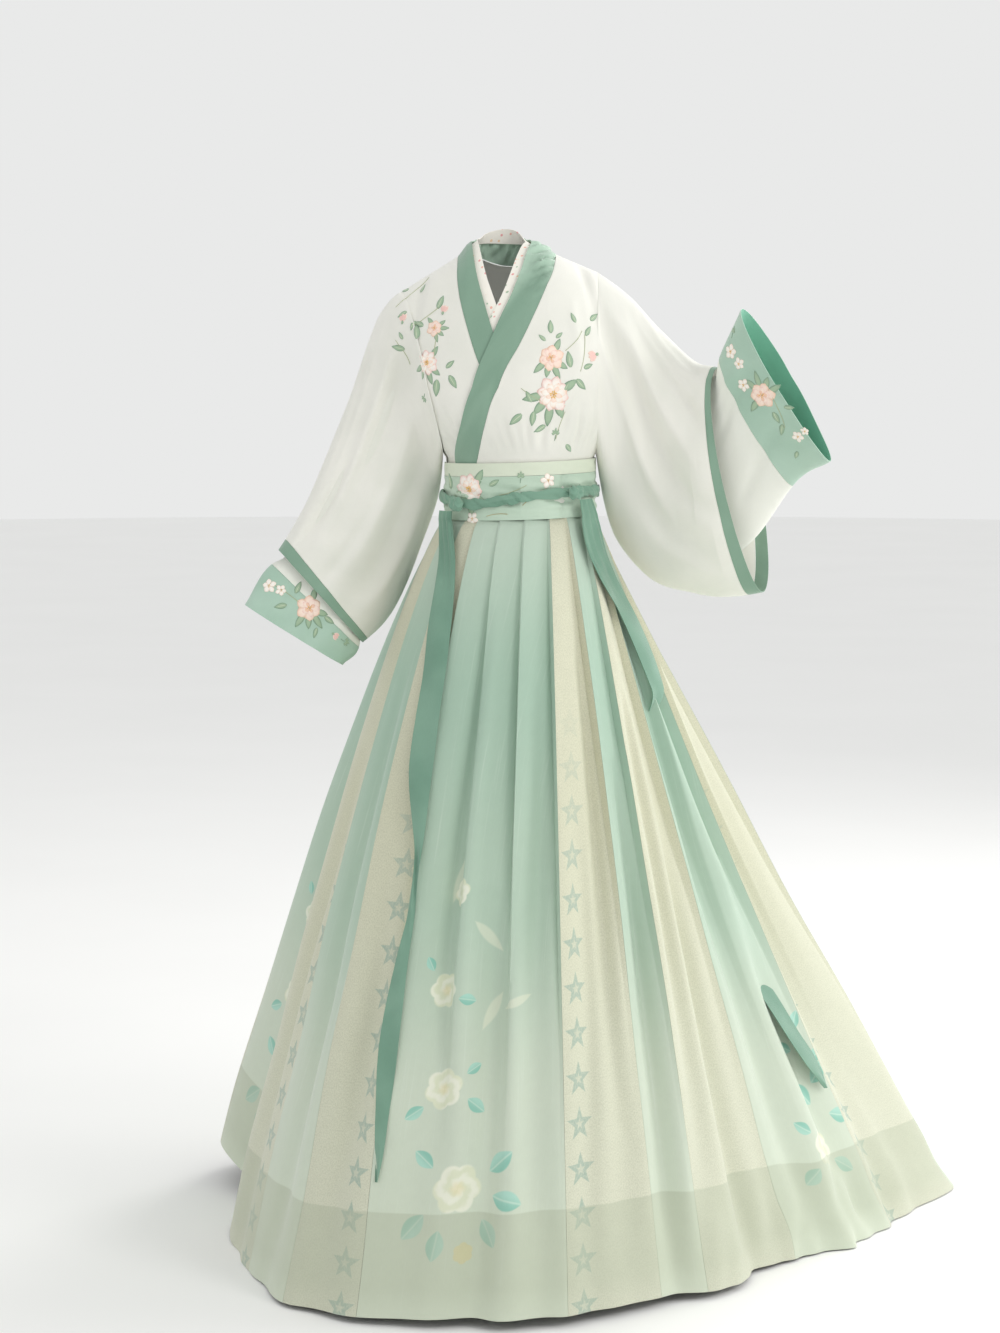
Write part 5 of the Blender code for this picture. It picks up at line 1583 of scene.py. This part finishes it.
def sewing(grids):
    """Rows of stitches along the bands, the cuffs, the waistband and the collars."""
    lines = (
        ("waistband", True, 0.93, "waist_satin", "stitch_pale"),
        ("waistband", True, 0.05, "waist_satin", "stitch_pale"),
        ("cuff_right", True, 0.04, "cuff_satin", "stitch_pale"),
        ("cuff_right", True, 0.95, "cuff_satin", "stitch_pale"),
        ("cuff_left", True, 0.04, "cuff_satin", "stitch_pale"),
        ("cuff_left", True, 0.95, "cuff_satin", "stitch_pale"),
    )
    for k, (name, around, share, slot, finish) in enumerate(lines):
        line, out = edge_line(grids[name], around, share)
        stitches("stitches_%s_%d" % (name, k), line, out, MATERIALS[finish])
    for side in ("right", "left"):
        sleeve = grids["sleeve_" + side]
        line, out = edge_line(sleeve, True, 0.992)
        stitches("stitches_sleeve_band_" + side, line, out, MATERIALS["stitch_green"])
        collar_grid = grids["collar_" + side]
        line, out = edge_line(collar_grid, False, 0.06, rows=False)
        stitches("stitches_collar_" + side, line, out, MATERIALS["stitch_green"])


# Materials

def add(tree, kind, inputs=None, **settings):
    """Adds a shader node, sets it and links or sets its inputs."""
    made = tree.nodes.new(kind)
    for key, value in settings.items():
        setattr(made, key, value)
    for key, value in (inputs or {}).items():
        if isinstance(value, bpy.types.NodeSocket):
            tree.links.new(value, made.inputs[key])
        else:
            made.inputs[key].default_value = value
    return made


def calc(tree, operation, first, second=0.0, third=0.0, clamp=False):
    """A Math node's result."""
    made = add(tree, "ShaderNodeMath", {0: first, 1: second, 2: third}, operation=operation, use_clamp=clamp)
    return made.outputs[0]


def between(tree, value, low, high, start=0.0, end=1.0):
    """A soft step from start to end as the value goes from low to high."""
    made = add(tree, "ShaderNodeMapRange", {"Value": value, "From Min": low, "From Max": high,
                                            "To Min": start, "To Max": end},
               interpolation_type="SMOOTHSTEP")
    return made.outputs["Result"]


def mix(tree, factor, first, second, blend="MIX"):
    """A colour mix's result."""
    made = tree.nodes.new("ShaderNodeMix")
    made.data_type = "RGBA"
    made.blend_type = blend
    for socket, value in ((made.inputs[0], factor), (made.inputs[6], first), (made.inputs[7], second)):
        if isinstance(value, bpy.types.NodeSocket):
            tree.links.new(value, socket)
        elif socket.type == "RGBA":
            socket.default_value = (*value, 1.0)
        else:
            socket.default_value = value
    return made.outputs[2]


def noise(tree, place, scale, detail=2.0, rough=0.5):
    """A noise texture's value."""
    made = add(tree, "ShaderNodeTexNoise", {"Vector": place, "Scale": scale, "Detail": detail, "Roughness": rough})
    return made.outputs[0]


def stretched(tree, place, x, y):
    """Coordinates scaled along the cloth's two directions."""
    made = add(tree, "ShaderNodeMapping", {"Vector": place, "Scale": (x, y, 1.0)})
    return made.outputs[0]


def start_material(name):
    """A new material with its shader, its output and the cut's coordinates."""
    made = bpy.data.materials.new(name)
    made.use_nodes = True
    tree = made.node_tree
    shader = tree.nodes["Principled BSDF"]
    cut = add(tree, "ShaderNodeUVMap", uv_map="cut").outputs[0]
    return made, tree, shader, cut


def weave(tree, cut, pitch):
    """Height of a plain weave: warp and weft bands, uneven like spun thread."""
    parts = add(tree, "ShaderNodeSeparateXYZ", {0: cut})
    warp = calc(tree, "SINE", calc(tree, "MULTIPLY", parts.outputs[0], 2 * math.pi / pitch))
    weft = calc(tree, "SINE", calc(tree, "MULTIPLY", parts.outputs[1], 2 * math.pi / pitch))
    return calc(tree, "MULTIPLY", warp, weft)


def cloth_finish(tree, shader, cut, colour, roughness, sheen, pitch, bump, slub=0.03, soft=0.0):
    """Weave, slubs and sheen over a colour that is worked out before."""
    threads = weave(tree, cut, pitch)
    grain = noise(tree, stretched(tree, cut, 900, 130), 1.0, 3.0)
    mottle = noise(tree, cut, 55.0, 3.0)
    shade = calc(tree, "ADD", calc(tree, "MULTIPLY", calc(tree, "SUBTRACT", grain, 0.5), slub * 2),
                 calc(tree, "MULTIPLY", calc(tree, "SUBTRACT", mottle, 0.5), slub * 1.4))
    bright = calc(tree, "ADD", shade, 1.0)
    tinted = add(tree, "ShaderNodeVectorMath", {0: colour, 1: bright}, operation="MULTIPLY")
    tree.links.new(tinted.outputs[0], shader.inputs["Base Color"])
    height = calc(tree, "ADD", calc(tree, "MULTIPLY", threads, 0.5), calc(tree, "MULTIPLY", grain, 1.4))
    bumped = add(tree, "ShaderNodeBump", {"Height": height, "Strength": bump, "Distance": 0.0006})
    tree.links.new(bumped.outputs[0], shader.inputs["Normal"])
    shader.inputs["Roughness"].default_value = roughness
    shader.inputs["Sheen Weight"].default_value = sheen
    shader.inputs["Sheen Roughness"].default_value = 0.45
    if soft:
        shader.inputs["Subsurface Weight"].default_value = soft
        shader.inputs["Subsurface Radius"].default_value = (0.010, 0.010, 0.009)
        shader.inputs["Subsurface Scale"].default_value = 1.0


def colour_node(tree, colour):
    """A fixed colour as a socket."""
    made = add(tree, "ShaderNodeRGB")
    made.outputs[0].default_value = (*colour, 1.0)
    return made.outputs[0]


def plain_cloth(name, colour, second, roughness, sheen, pitch, bump, slub=0.03, soft=0.0, fade=None):
    """A plain woven cloth of two near colours. fade gives a stretch of another colour: (low, high, colour)."""
    made, tree, shader, cut = start_material(name)
    cloudy = between(tree, noise(tree, cut, 9.0, 2.0), 0.35, 0.65)
    base = mix(tree, cloudy, linear(*colour), linear(*second))
    if fade:
        low, high, end_colour = fade
        up = add(tree, "ShaderNodeSeparateXYZ", {0: cut}).outputs[1]
        base = mix(tree, between(tree, up, low, high, 1.0, 0.0), base, linear(*end_colour))
    cloth_finish(tree, shader, cut, base, roughness, sheen, pitch, bump, slub, soft)
    return made


def printed_collar():
    """White satin with a small scattered print of pink, orange and green flowers."""
    made, tree, shader, cut = start_material("collar_print")
    cells = add(tree, "ShaderNodeTexVoronoi", {"Vector": cut, "Scale": 150.0, "Randomness": 0.8})
    pick = add(tree, "ShaderNodeSeparateColor", {0: cells.outputs["Color"]})
    ramp = add(tree, "ShaderNodeValToRGB", {0: pick.outputs[0]})
    ramp.color_ramp.interpolation = "CONSTANT"
    tones = ((0.0, (240, 170, 150)), (0.34, (150, 184, 150)), (0.62, (246, 206, 160)), (0.8, (236, 150, 150)))
    fill_ramp(ramp, tones)
    dots = between(tree, cells.outputs["Distance"], 0.22, 0.36, 1.0, 0.0)
    shown = calc(tree, "MULTIPLY", dots, calc(tree, "GREATER_THAN", pick.outputs[1], 0.35))
    base = mix(tree, calc(tree, "MULTIPLY", shown, 0.85), linear(248, 244, 234), ramp.outputs[0])
    cloth_finish(tree, shader, cut, base, 0.55, 0.2, 0.0011, 0.15)
    return made


def fill_ramp(ramp, tones):
    """Sets a colour ramp's stops from (place, seen colour) rows."""
    stops = ramp.color_ramp.elements
    while len(stops) < len(tones):
        stops.new(0.5)
    for stop, (place, colour) in zip(stops, tones):
        stop.position = place
        stop.color = (*linear(*colour), 1.0)


def star_mask(tree, cut):
    """Hollow five-pointed stars in a column along one edge of the panel, faint near the top."""
    parts = add(tree, "ShaderNodeSeparateXYZ", {0: cut})
    u = calc(tree, "SUBTRACT", parts.outputs[0], STAR_PLACE)
    up = parts.outputs[1]
    v = calc(tree, "SUBTRACT", calc(tree, "FLOORED_MODULO", calc(tree, "ADD", up, STAR_SPACING * 0.35), STAR_SPACING),
             STAR_SPACING / 2)
    reach = calc(tree, "SQRT", calc(tree, "ADD", calc(tree, "MULTIPLY", u, u), calc(tree, "MULTIPLY", v, v)))
    angle = calc(tree, "ARCTAN2", u, v)
    sector = 2 * math.pi / 5
    folded = calc(tree, "ABSOLUTE", calc(tree, "SUBTRACT",
                  calc(tree, "FLOORED_MODULO", calc(tree, "ADD", angle, sector / 2), sector), sector / 2))
    inner = 0.42
    tip = np.array([1.0, 0.0])
    dent = np.array([math.cos(sector / 2), math.sin(sector / 2)]) * inner
    side = dent - tip
    normal = np.array([side[1], -side[0]]) / np.linalg.norm(side)
    reach_of_side = float(normal @ tip)
    along = calc(tree, "MULTIPLY", calc(tree, "COSINE", folded), normal[0] / reach_of_side)
    along = calc(tree, "ADD", along, calc(tree, "MULTIPLY", calc(tree, "SINE", folded), normal[1] / reach_of_side))
    size = calc(tree, "DIVIDE", calc(tree, "MULTIPLY", reach, along), STAR_RADIUS)
    solid = between(tree, size, 0.90, 1.08, 1.0, 0.0)
    hollow = between(tree, size, 0.24, 0.46, 0.30, 1.0)
    faint = between(tree, up, 0.50, 0.86, 1.0, 0.0)
    thread = between(tree, noise(tree, stretched(tree, cut, 500, 260), 1.0, 2.0), 0.3, 0.62, 0.55, 1.0)
    return calc(tree, "MULTIPLY", calc(tree, "MULTIPLY", calc(tree, "MULTIPLY", solid, hollow), faint), thread)


def painted_inside_shade(tree, cut, colour, strength):
    """Painted shade: darkens the stretch below the lining's end, where the skirt's shaded inside would show through the
    single sheer layer.
    """
    parts = add(tree, "ShaderNodeSeparateXYZ", {0: cut})
    waver = calc(tree, "MULTIPLY", calc(tree, "SUBTRACT", noise(tree, cut, 3.0, 1.0), 0.5), 0.03)
    up = calc(tree, "ADD", parts.outputs[1], waver)
    low = between(tree, up, HEM_BAND_HEIGHT - 0.0015, HEM_BAND_HEIGHT + 0.0015, 1.0, 0.0)
    fade = between(tree, parts.outputs[1], 0.0, 0.045, 0.35, 1.0)
    factor = calc(tree, "MULTIPLY", calc(tree, "MULTIPLY", low, fade), strength)
    # The dark colour is painted shade of the skirt's inside, with less of it right at the hem
    return mix(tree, factor, colour, linear(176, 184, 160))


def cream_panel(name, stars):
    """Cream jacquard with a fine broken texture, and stars along one edge."""
    made, tree, shader, cut = start_material(name)
    crackle = noise(tree, stretched(tree, cut, 620, 430), 1.0, 3.0, 0.62)
    base = mix(tree, between(tree, crackle, 0.36, 0.62), linear(204, 205, 189), linear(218, 218, 204))
    parts = add(tree, "ShaderNodeSeparateXYZ", {0: cut})
    ramp = add(tree, "ShaderNodeValToRGB", {0: calc(tree, "DIVIDE", parts.outputs[1], SKIRT_LENGTH)})
    fill_ramp(ramp, ((0.0, (250, 252, 244)), (0.25, (250, 252, 242)), (0.6, (250, 250, 236)), (1.0, (253, 252, 242))))
    base = mix(tree, 1.0, base, ramp.outputs[0], "MULTIPLY")
    if stars:
        base = mix(tree, calc(tree, "MULTIPLY", star_mask(tree, cut), 0.80), base, linear(152, 176, 162))
    # Painted shade of the skirt's inside below the lining's end
    base = painted_inside_shade(tree, cut, base, 0.50)
    cloth_finish(tree, shader, cut, base, 0.80, 0.25, 0.0016, 0.35, 0.05, 0.10)
    return made


def green_ground(tree, cut):
    """Chiffon that shades down the skirt, with fine pale streaks along the warp."""
    parts = add(tree, "ShaderNodeSeparateXYZ", {0: cut})
    ramp = add(tree, "ShaderNodeValToRGB", {0: calc(tree, "DIVIDE", parts.outputs[1], SKIRT_LENGTH)})
    ramp.color_ramp.interpolation = "EASE"
    fill_ramp(ramp, ((0.0, (208, 217, 196)), (0.22, (203, 214, 195)), (0.50, (178, 201, 181)),
                     (0.74, (166, 194, 174)), (1.0, (194, 211, 194))))
    streak = noise(tree, stretched(tree, cut, 320, 5.0), 1.0, 3.0, 0.6)
    pale = between(tree, streak, 0.55, 0.80, 0.0, 0.26)
    return mix(tree, pale, ramp.outputs[0], linear(222, 232, 220))


def green_panel(name, motifs):
    """Green chiffon, with printed flowers and leaves where a table gives them."""
    made, tree, shader, cut = start_material(name)
    base = green_ground(tree, cut)
    for row in motifs:
        base = printed_motif(tree, cut, base, dict(zip(PRINT_COLUMNS, row)))
    # Painted shade of the skirt's inside below the lining's end
    base = painted_inside_shade(tree, cut, base, 0.50)
    cloth_finish(tree, shader, cut, base, 0.70, 0.30, 0.0012, 0.22, 0.035, 0.12)
    return made


PRINT_COLUMNS = ("kind", "across", "up", "size", "turn")
PRINT_GAIN = {"leaf": 1.25, "rose": 1.15, "bud": 1.1, "petal": 1.6}
FRONT_PRINT = (
    ("rose", 0.085, 0.300, 0.024, 20),
    ("leaf", 0.120, 0.285, 0.026, -35),
    ("leaf", 0.116, 0.318, 0.020, 30),
    ("leaf", 0.060, 0.276, 0.024, 215),
    ("petal", 0.135, 0.372, 0.040, 62),
    ("petal", 0.168, 0.404, 0.034, 20),
    ("rose", 0.070, 0.430, 0.021, 60),
    ("leaf", 0.098, 0.418, 0.022, -10),
    ("leaf", 0.048, 0.455, 0.018, 120),
    ("rose", 0.118, 0.168, 0.029, 0),
    ("leaf", 0.160, 0.190, 0.036, 40),
    ("leaf", 0.168, 0.160, 0.038, -14),
    ("leaf", 0.156, 0.128, 0.034, -58),
    ("leaf", 0.082, 0.196, 0.028, 140),
    ("leaf", 0.076, 0.136, 0.036, 230),
    ("leaf", 0.098, 0.116, 0.034, 262),
    ("bud", 0.134, 0.084, 0.013, 90),
    ("petal", 0.060, 0.545, 0.044, 76),
    ("rose", 0.082, 0.560, 0.017, 10),
    ("petal", 0.112, 0.520, 0.040, -40),
)
SIDE_PRINT = (
    ("leaf", 0.150, 0.330, 0.026, 60),
    ("leaf", 0.140, 0.300, 0.024, 150),
    ("leaf", 0.168, 0.280, 0.028, 20),
    ("leaf", 0.160, 0.245, 0.036, 40),
    ("leaf", 0.150, 0.215, 0.036, 120),
    ("leaf", 0.176, 0.195, 0.034, -20),
    ("rose", 0.128, 0.150, 0.026, 40),
    ("leaf", 0.158, 0.128, 0.032, -40),
    ("leaf", 0.096, 0.126, 0.032, 220),
    ("leaf", 0.100, 0.178, 0.026, 140),
)


def local_place(tree, cut, motif_row):
    """Coordinates about a motif, turned with it and measured in its size."""
    size = motif_row["size"] * PRINT_GAIN[motif_row["kind"]]
    made = add(tree, "ShaderNodeMapping", {"Vector": cut, "Location": (motif_row["across"], motif_row["up"], 0),
                                           "Rotation": (0, 0, math.radians(motif_row["turn"])),
                                           "Scale": (size, size, 1.0)},
               vector_type="TEXTURE")
    return add(tree, "ShaderNodeSeparateXYZ", {0: made.outputs[0]}).outputs


def printed_motif(tree, cut, base, motif_row):
    """Prints one leaf, petal, bud or rose over a colour."""
    x, y = local_place(tree, cut, motif_row)[:2]
    if motif_row["kind"] in ("leaf", "petal"):
        wide = 0.30 if motif_row["kind"] == "leaf" else 0.13
        along = calc(tree, "SUBTRACT", 1.0, calc(tree, "POWER", calc(tree, "ABSOLUTE",
                     calc(tree, "MULTIPLY_ADD", x, 2.0, -1.0)), 2.0))
        edge = calc(tree, "SUBTRACT", calc(tree, "MULTIPLY", along, wide), calc(tree, "ABSOLUTE", y))
        mask = between(tree, edge, -0.01, 0.05)
        rib = between(tree, calc(tree, "ABSOLUTE", y), 0.0, 0.05, 0.55, 0.0)
        if motif_row["kind"] == "leaf":
            tone = mix(tree, between(tree, y, -0.2, 0.2), linear(116, 190, 172), linear(160, 214, 198))
            tone = mix(tree, rib, tone, linear(210, 232, 216))
            return mix(tree, calc(tree, "MULTIPLY", mask, 0.78), base, tone)
        return mix(tree, calc(tree, "MULTIPLY", mask, 0.42), base, linear(238, 238, 214))
    reach = calc(tree, "SQRT", calc(tree, "ADD", calc(tree, "MULTIPLY", x, x), calc(tree, "MULTIPLY", y, y)))
    angle = calc(tree, "ARCTAN2", y, x)
    lobes = calc(tree, "MULTIPLY_ADD", calc(tree, "ABSOLUTE", calc(tree, "COSINE",
                 calc(tree, "MULTIPLY", angle, 3.0))), 0.16, 0.84)
    size = calc(tree, "DIVIDE", reach, lobes)
    mask = between(tree, size, 0.92, 1.06, 1.0, 0.0)
    if motif_row["kind"] == "bud":
        return mix(tree, calc(tree, "MULTIPLY", mask, 0.7), base, linear(230, 212, 142))
    wobble = calc(tree, "MULTIPLY", noise(tree, cut, 90.0, 1.0), 3.0)
    swirl = calc(tree, "SINE", calc(tree, "ADD", calc(tree, "MULTIPLY_ADD", size, 9.0, wobble),
                                    calc(tree, "MULTIPLY", angle, 2.0)))
    tone = mix(tree, between(tree, swirl, -1.0, 1.0), linear(224, 228, 198), linear(240, 241, 222))
    tone = mix(tree, between(tree, size, 0.10, 0.45, 0.6, 0.0), tone, linear(236, 222, 170))
    return mix(tree, calc(tree, "MULTIPLY", mask, 0.80), base, tone)


def thread_material():
    """Silk embroidery thread: its colour from the stitches, with fine ridges along them."""
    made = bpy.data.materials.new("thread")
    made.use_nodes = True
    tree = made.node_tree
    shader = tree.nodes["Principled BSDF"]
    colour = add(tree, "ShaderNodeAttribute", attribute_name="thread").outputs["Color"]
    place = add(tree, "ShaderNodeTexCoord").outputs["Object"]
    ridges = noise(tree, place, 1500.0, 2.0)
    shade = calc(tree, "MULTIPLY_ADD", ridges, 0.22, 0.89)
    tinted = add(tree, "ShaderNodeVectorMath", {0: colour, 1: shade}, operation="MULTIPLY")
    tree.links.new(tinted.outputs[0], shader.inputs["Base Color"])
    bumped = add(tree, "ShaderNodeBump", {"Height": ridges, "Strength": 0.5, "Distance": 0.0004})
    tree.links.new(bumped.outputs[0], shader.inputs["Normal"])
    shader.inputs["Roughness"].default_value = 0.42
    shader.inputs["Sheen Weight"].default_value = 0.3
    return made


def stitch_material(name, colour):
    """Sewing thread, with a twist that shows as a fine change of tone."""
    made = bpy.data.materials.new(name)
    made.use_nodes = True
    tree = made.node_tree
    shader = tree.nodes["Principled BSDF"]
    place = add(tree, "ShaderNodeTexCoord").outputs["Object"]
    twist = noise(tree, place, 1800.0, 1.0)
    base = mix(tree, twist, linear(*(c * 0.86 for c in colour)), linear(*colour))
    tree.links.new(base, shader.inputs["Base Color"])
    shader.inputs["Roughness"].default_value = 0.6
    return made


def floor_material():
    """A pale matt floor."""
    made = bpy.data.materials.new("pale_floor")
    made.use_nodes = True
    tree = made.node_tree
    shader = tree.nodes["Principled BSDF"]
    place = add(tree, "ShaderNodeTexCoord").outputs["Object"]
    base = mix(tree, noise(tree, place, 2.0, 2.0), linear(244, 244, 243), linear(248, 248, 247))
    tree.links.new(base, shader.inputs["Base Color"])
    shader.inputs["Roughness"].default_value = 0.9
    return made


# Light, floor and camera

def pixels(place):
    """Where points of the frame are seen in the photo's pixels, and how far off they are."""
    away = place - EYE
    forward = np.array([0, math.cos(EYE_TILT), -math.sin(EYE_TILT)])
    up = np.array([0, math.sin(EYE_TILT), math.cos(EYE_TILT)])
    depth = away @ forward
    return (IMAGE[0] / 2 + FOCAL * away[..., 0] / depth, IMAGE[1] / 2 - FOCAL * (away @ up) / depth, depth)


def make_camera():
    """The camera at the photo's place and angle."""
    data = bpy.data.cameras.new("camera")
    data.sensor_width = SENSOR_MM
    data.lens = FOCAL / IMAGE[1] * SENSOR_MM
    data.clip_end = 60
    made = bpy.data.objects.new("camera", data)
    made.location = EYE
    made.rotation_euler = (math.pi / 2 - EYE_TILT, 0, 0)
    bpy.context.collection.objects.link(made)
    bpy.context.scene.camera = made


def area_light(name, place, aim, size, power, colour):
    """A soft square light turned to a point."""
    data = bpy.data.lights.new(name, "AREA")
    data.size = size
    data.energy = power
    data.color = colour
    made = bpy.data.objects.new(name, data)
    made.location = place
    towards = np.array(aim) - np.array(place)
    flat = math.hypot(towards[0], towards[1])
    made.rotation_euler = (math.atan2(flat, -towards[2]), 0, math.atan2(-towards[0], towards[1]))
    bpy.context.collection.objects.link(made)


def make_stage():
    """A pale floor, soft studio light with more of it from the right, and a bright surround."""
    bpy.ops.object.select_all(action="DESELECT")
    bpy.ops.mesh.primitive_circle_add(vertices=96, radius=16, fill_type="NGON", location=(0, 0, -NAPE))
    floor = bpy.context.object
    floor.name = "pale_floor"
    bpy.ops.object.transform_apply(location=True, rotation=False, scale=False)
    floor.data.materials.append(floor_material())
    world = bpy.data.worlds.new("surround")
    bpy.context.scene.world = world
    world.use_nodes = True
    world.node_tree.nodes["Background"].inputs[0].default_value = (0.96, 0.965, 0.96, 1)
    world.node_tree.nodes["Background"].inputs[1].default_value = 0.85
    area_light("key", (2.6, -2.3, 1.7), (0.1, 0, -0.5), 1.3, 33, (1.0, 0.985, 0.96))
    area_light("fill", (-2.9, -2.7, 0.8), (0, 0, -0.5), 2.4, 4, (0.98, 1.0, 0.99))
    area_light("rim", (1.9, 2.4, 1.3), (0, 0, -0.4), 1.5, 34, (1.0, 0.99, 0.96))
    area_light("side", (3.0, 0.1, -0.1), (0.6, 0.1, -1.0), 1.4, 27, (1.0, 0.99, 0.98))
    bpy.context.scene.view_settings.view_transform = "Standard"


MATERIALS = {
    "robe": plain_cloth("robe_cloth", (244, 243, 234), (238, 238, 228), 0.75, 0.25, 0.0012, 0.20, 0.025, 0.15),
    "lining": plain_cloth("lining_cloth", (241, 242, 232), (236, 237, 226), 0.75, 0.25, 0.0012, 0.20, 0.025, 0.15),
    "collar": plain_cloth("collar_satin", (134, 166, 145), (125, 158, 137), 0.50, 0.35, 0.0010, 0.18, 0.04),
    "collar_neck": plain_cloth("collar_satin_neck", (134, 166, 145), (125, 158, 137), 0.50, 0.35, 0.0010, 0.18,
                               0.04, 0.0, (0.20, 0.30, (172, 200, 180))),
    "cuff": plain_cloth("cuff_satin", (176, 204, 187), (163, 194, 175), 0.48, 0.35, 0.0010, 0.18, 0.035),
    "cuff_lining": plain_cloth("cuff_lining", (140, 200, 176), (130, 192, 168), 0.5, 0.3, 0.0010, 0.15, 0.03),
    "waist": plain_cloth("waist_satin", (193, 213, 194), (181, 204, 184), 0.48, 0.35, 0.0010, 0.18, 0.035),
    "binding": plain_cloth("binding_satin", (216, 224, 204), (209, 218, 198), 0.55, 0.3, 0.0010, 0.16, 0.03),
    "sash": plain_cloth("sash_cloth", (124, 162, 141), (108, 148, 127), 0.62, 0.30, 0.0012, 0.25, 0.06),
    "print": printed_collar(),
    "cream": cream_panel("cream_panel", True),
    "cream_plain": cream_panel("cream_panel_plain", False),
    "green": green_panel("green_panel", ()),
    "green_front": green_panel("green_panel_front", FRONT_PRINT),
    "green_side": green_panel("green_panel_side", SIDE_PRINT),
    "thread": thread_material(),
    "stitch_pale": stitch_material("stitch_pale", (206, 222, 208)),
    "stitch_green": stitch_material("stitch_green", (150, 182, 162)),
}
PANEL_FINISH = {4: "green_front", 7: "cream_plain", 8: "green_side", 12: "green_side", 16: "green_front"}
STARS_FROM_RIGHT = (1, 3, 11, 15)


def main():
    make_camera()
    make_stage()
    grids = robe()
    grids.update(collars())
    grids["waistband"] = waist_ring("waistband", WAIST_BOTTOM, WAIST_SEAM - SEAM_GAP, 26, MATERIALS["waist"],
                                    0.0032)
    waist_ring("waistband_binding", WAIST_SEAM, WAIST_TOP, 10, MATERIALS["binding"], 0.0004)
    grids.update(sleeves())
    skirt_panels()
    sash_wrap()
    for side in ("right", "left"):
        knot(side)
        sash_tail(side)
    embroidery(grids)
    sewing(grids)


main()
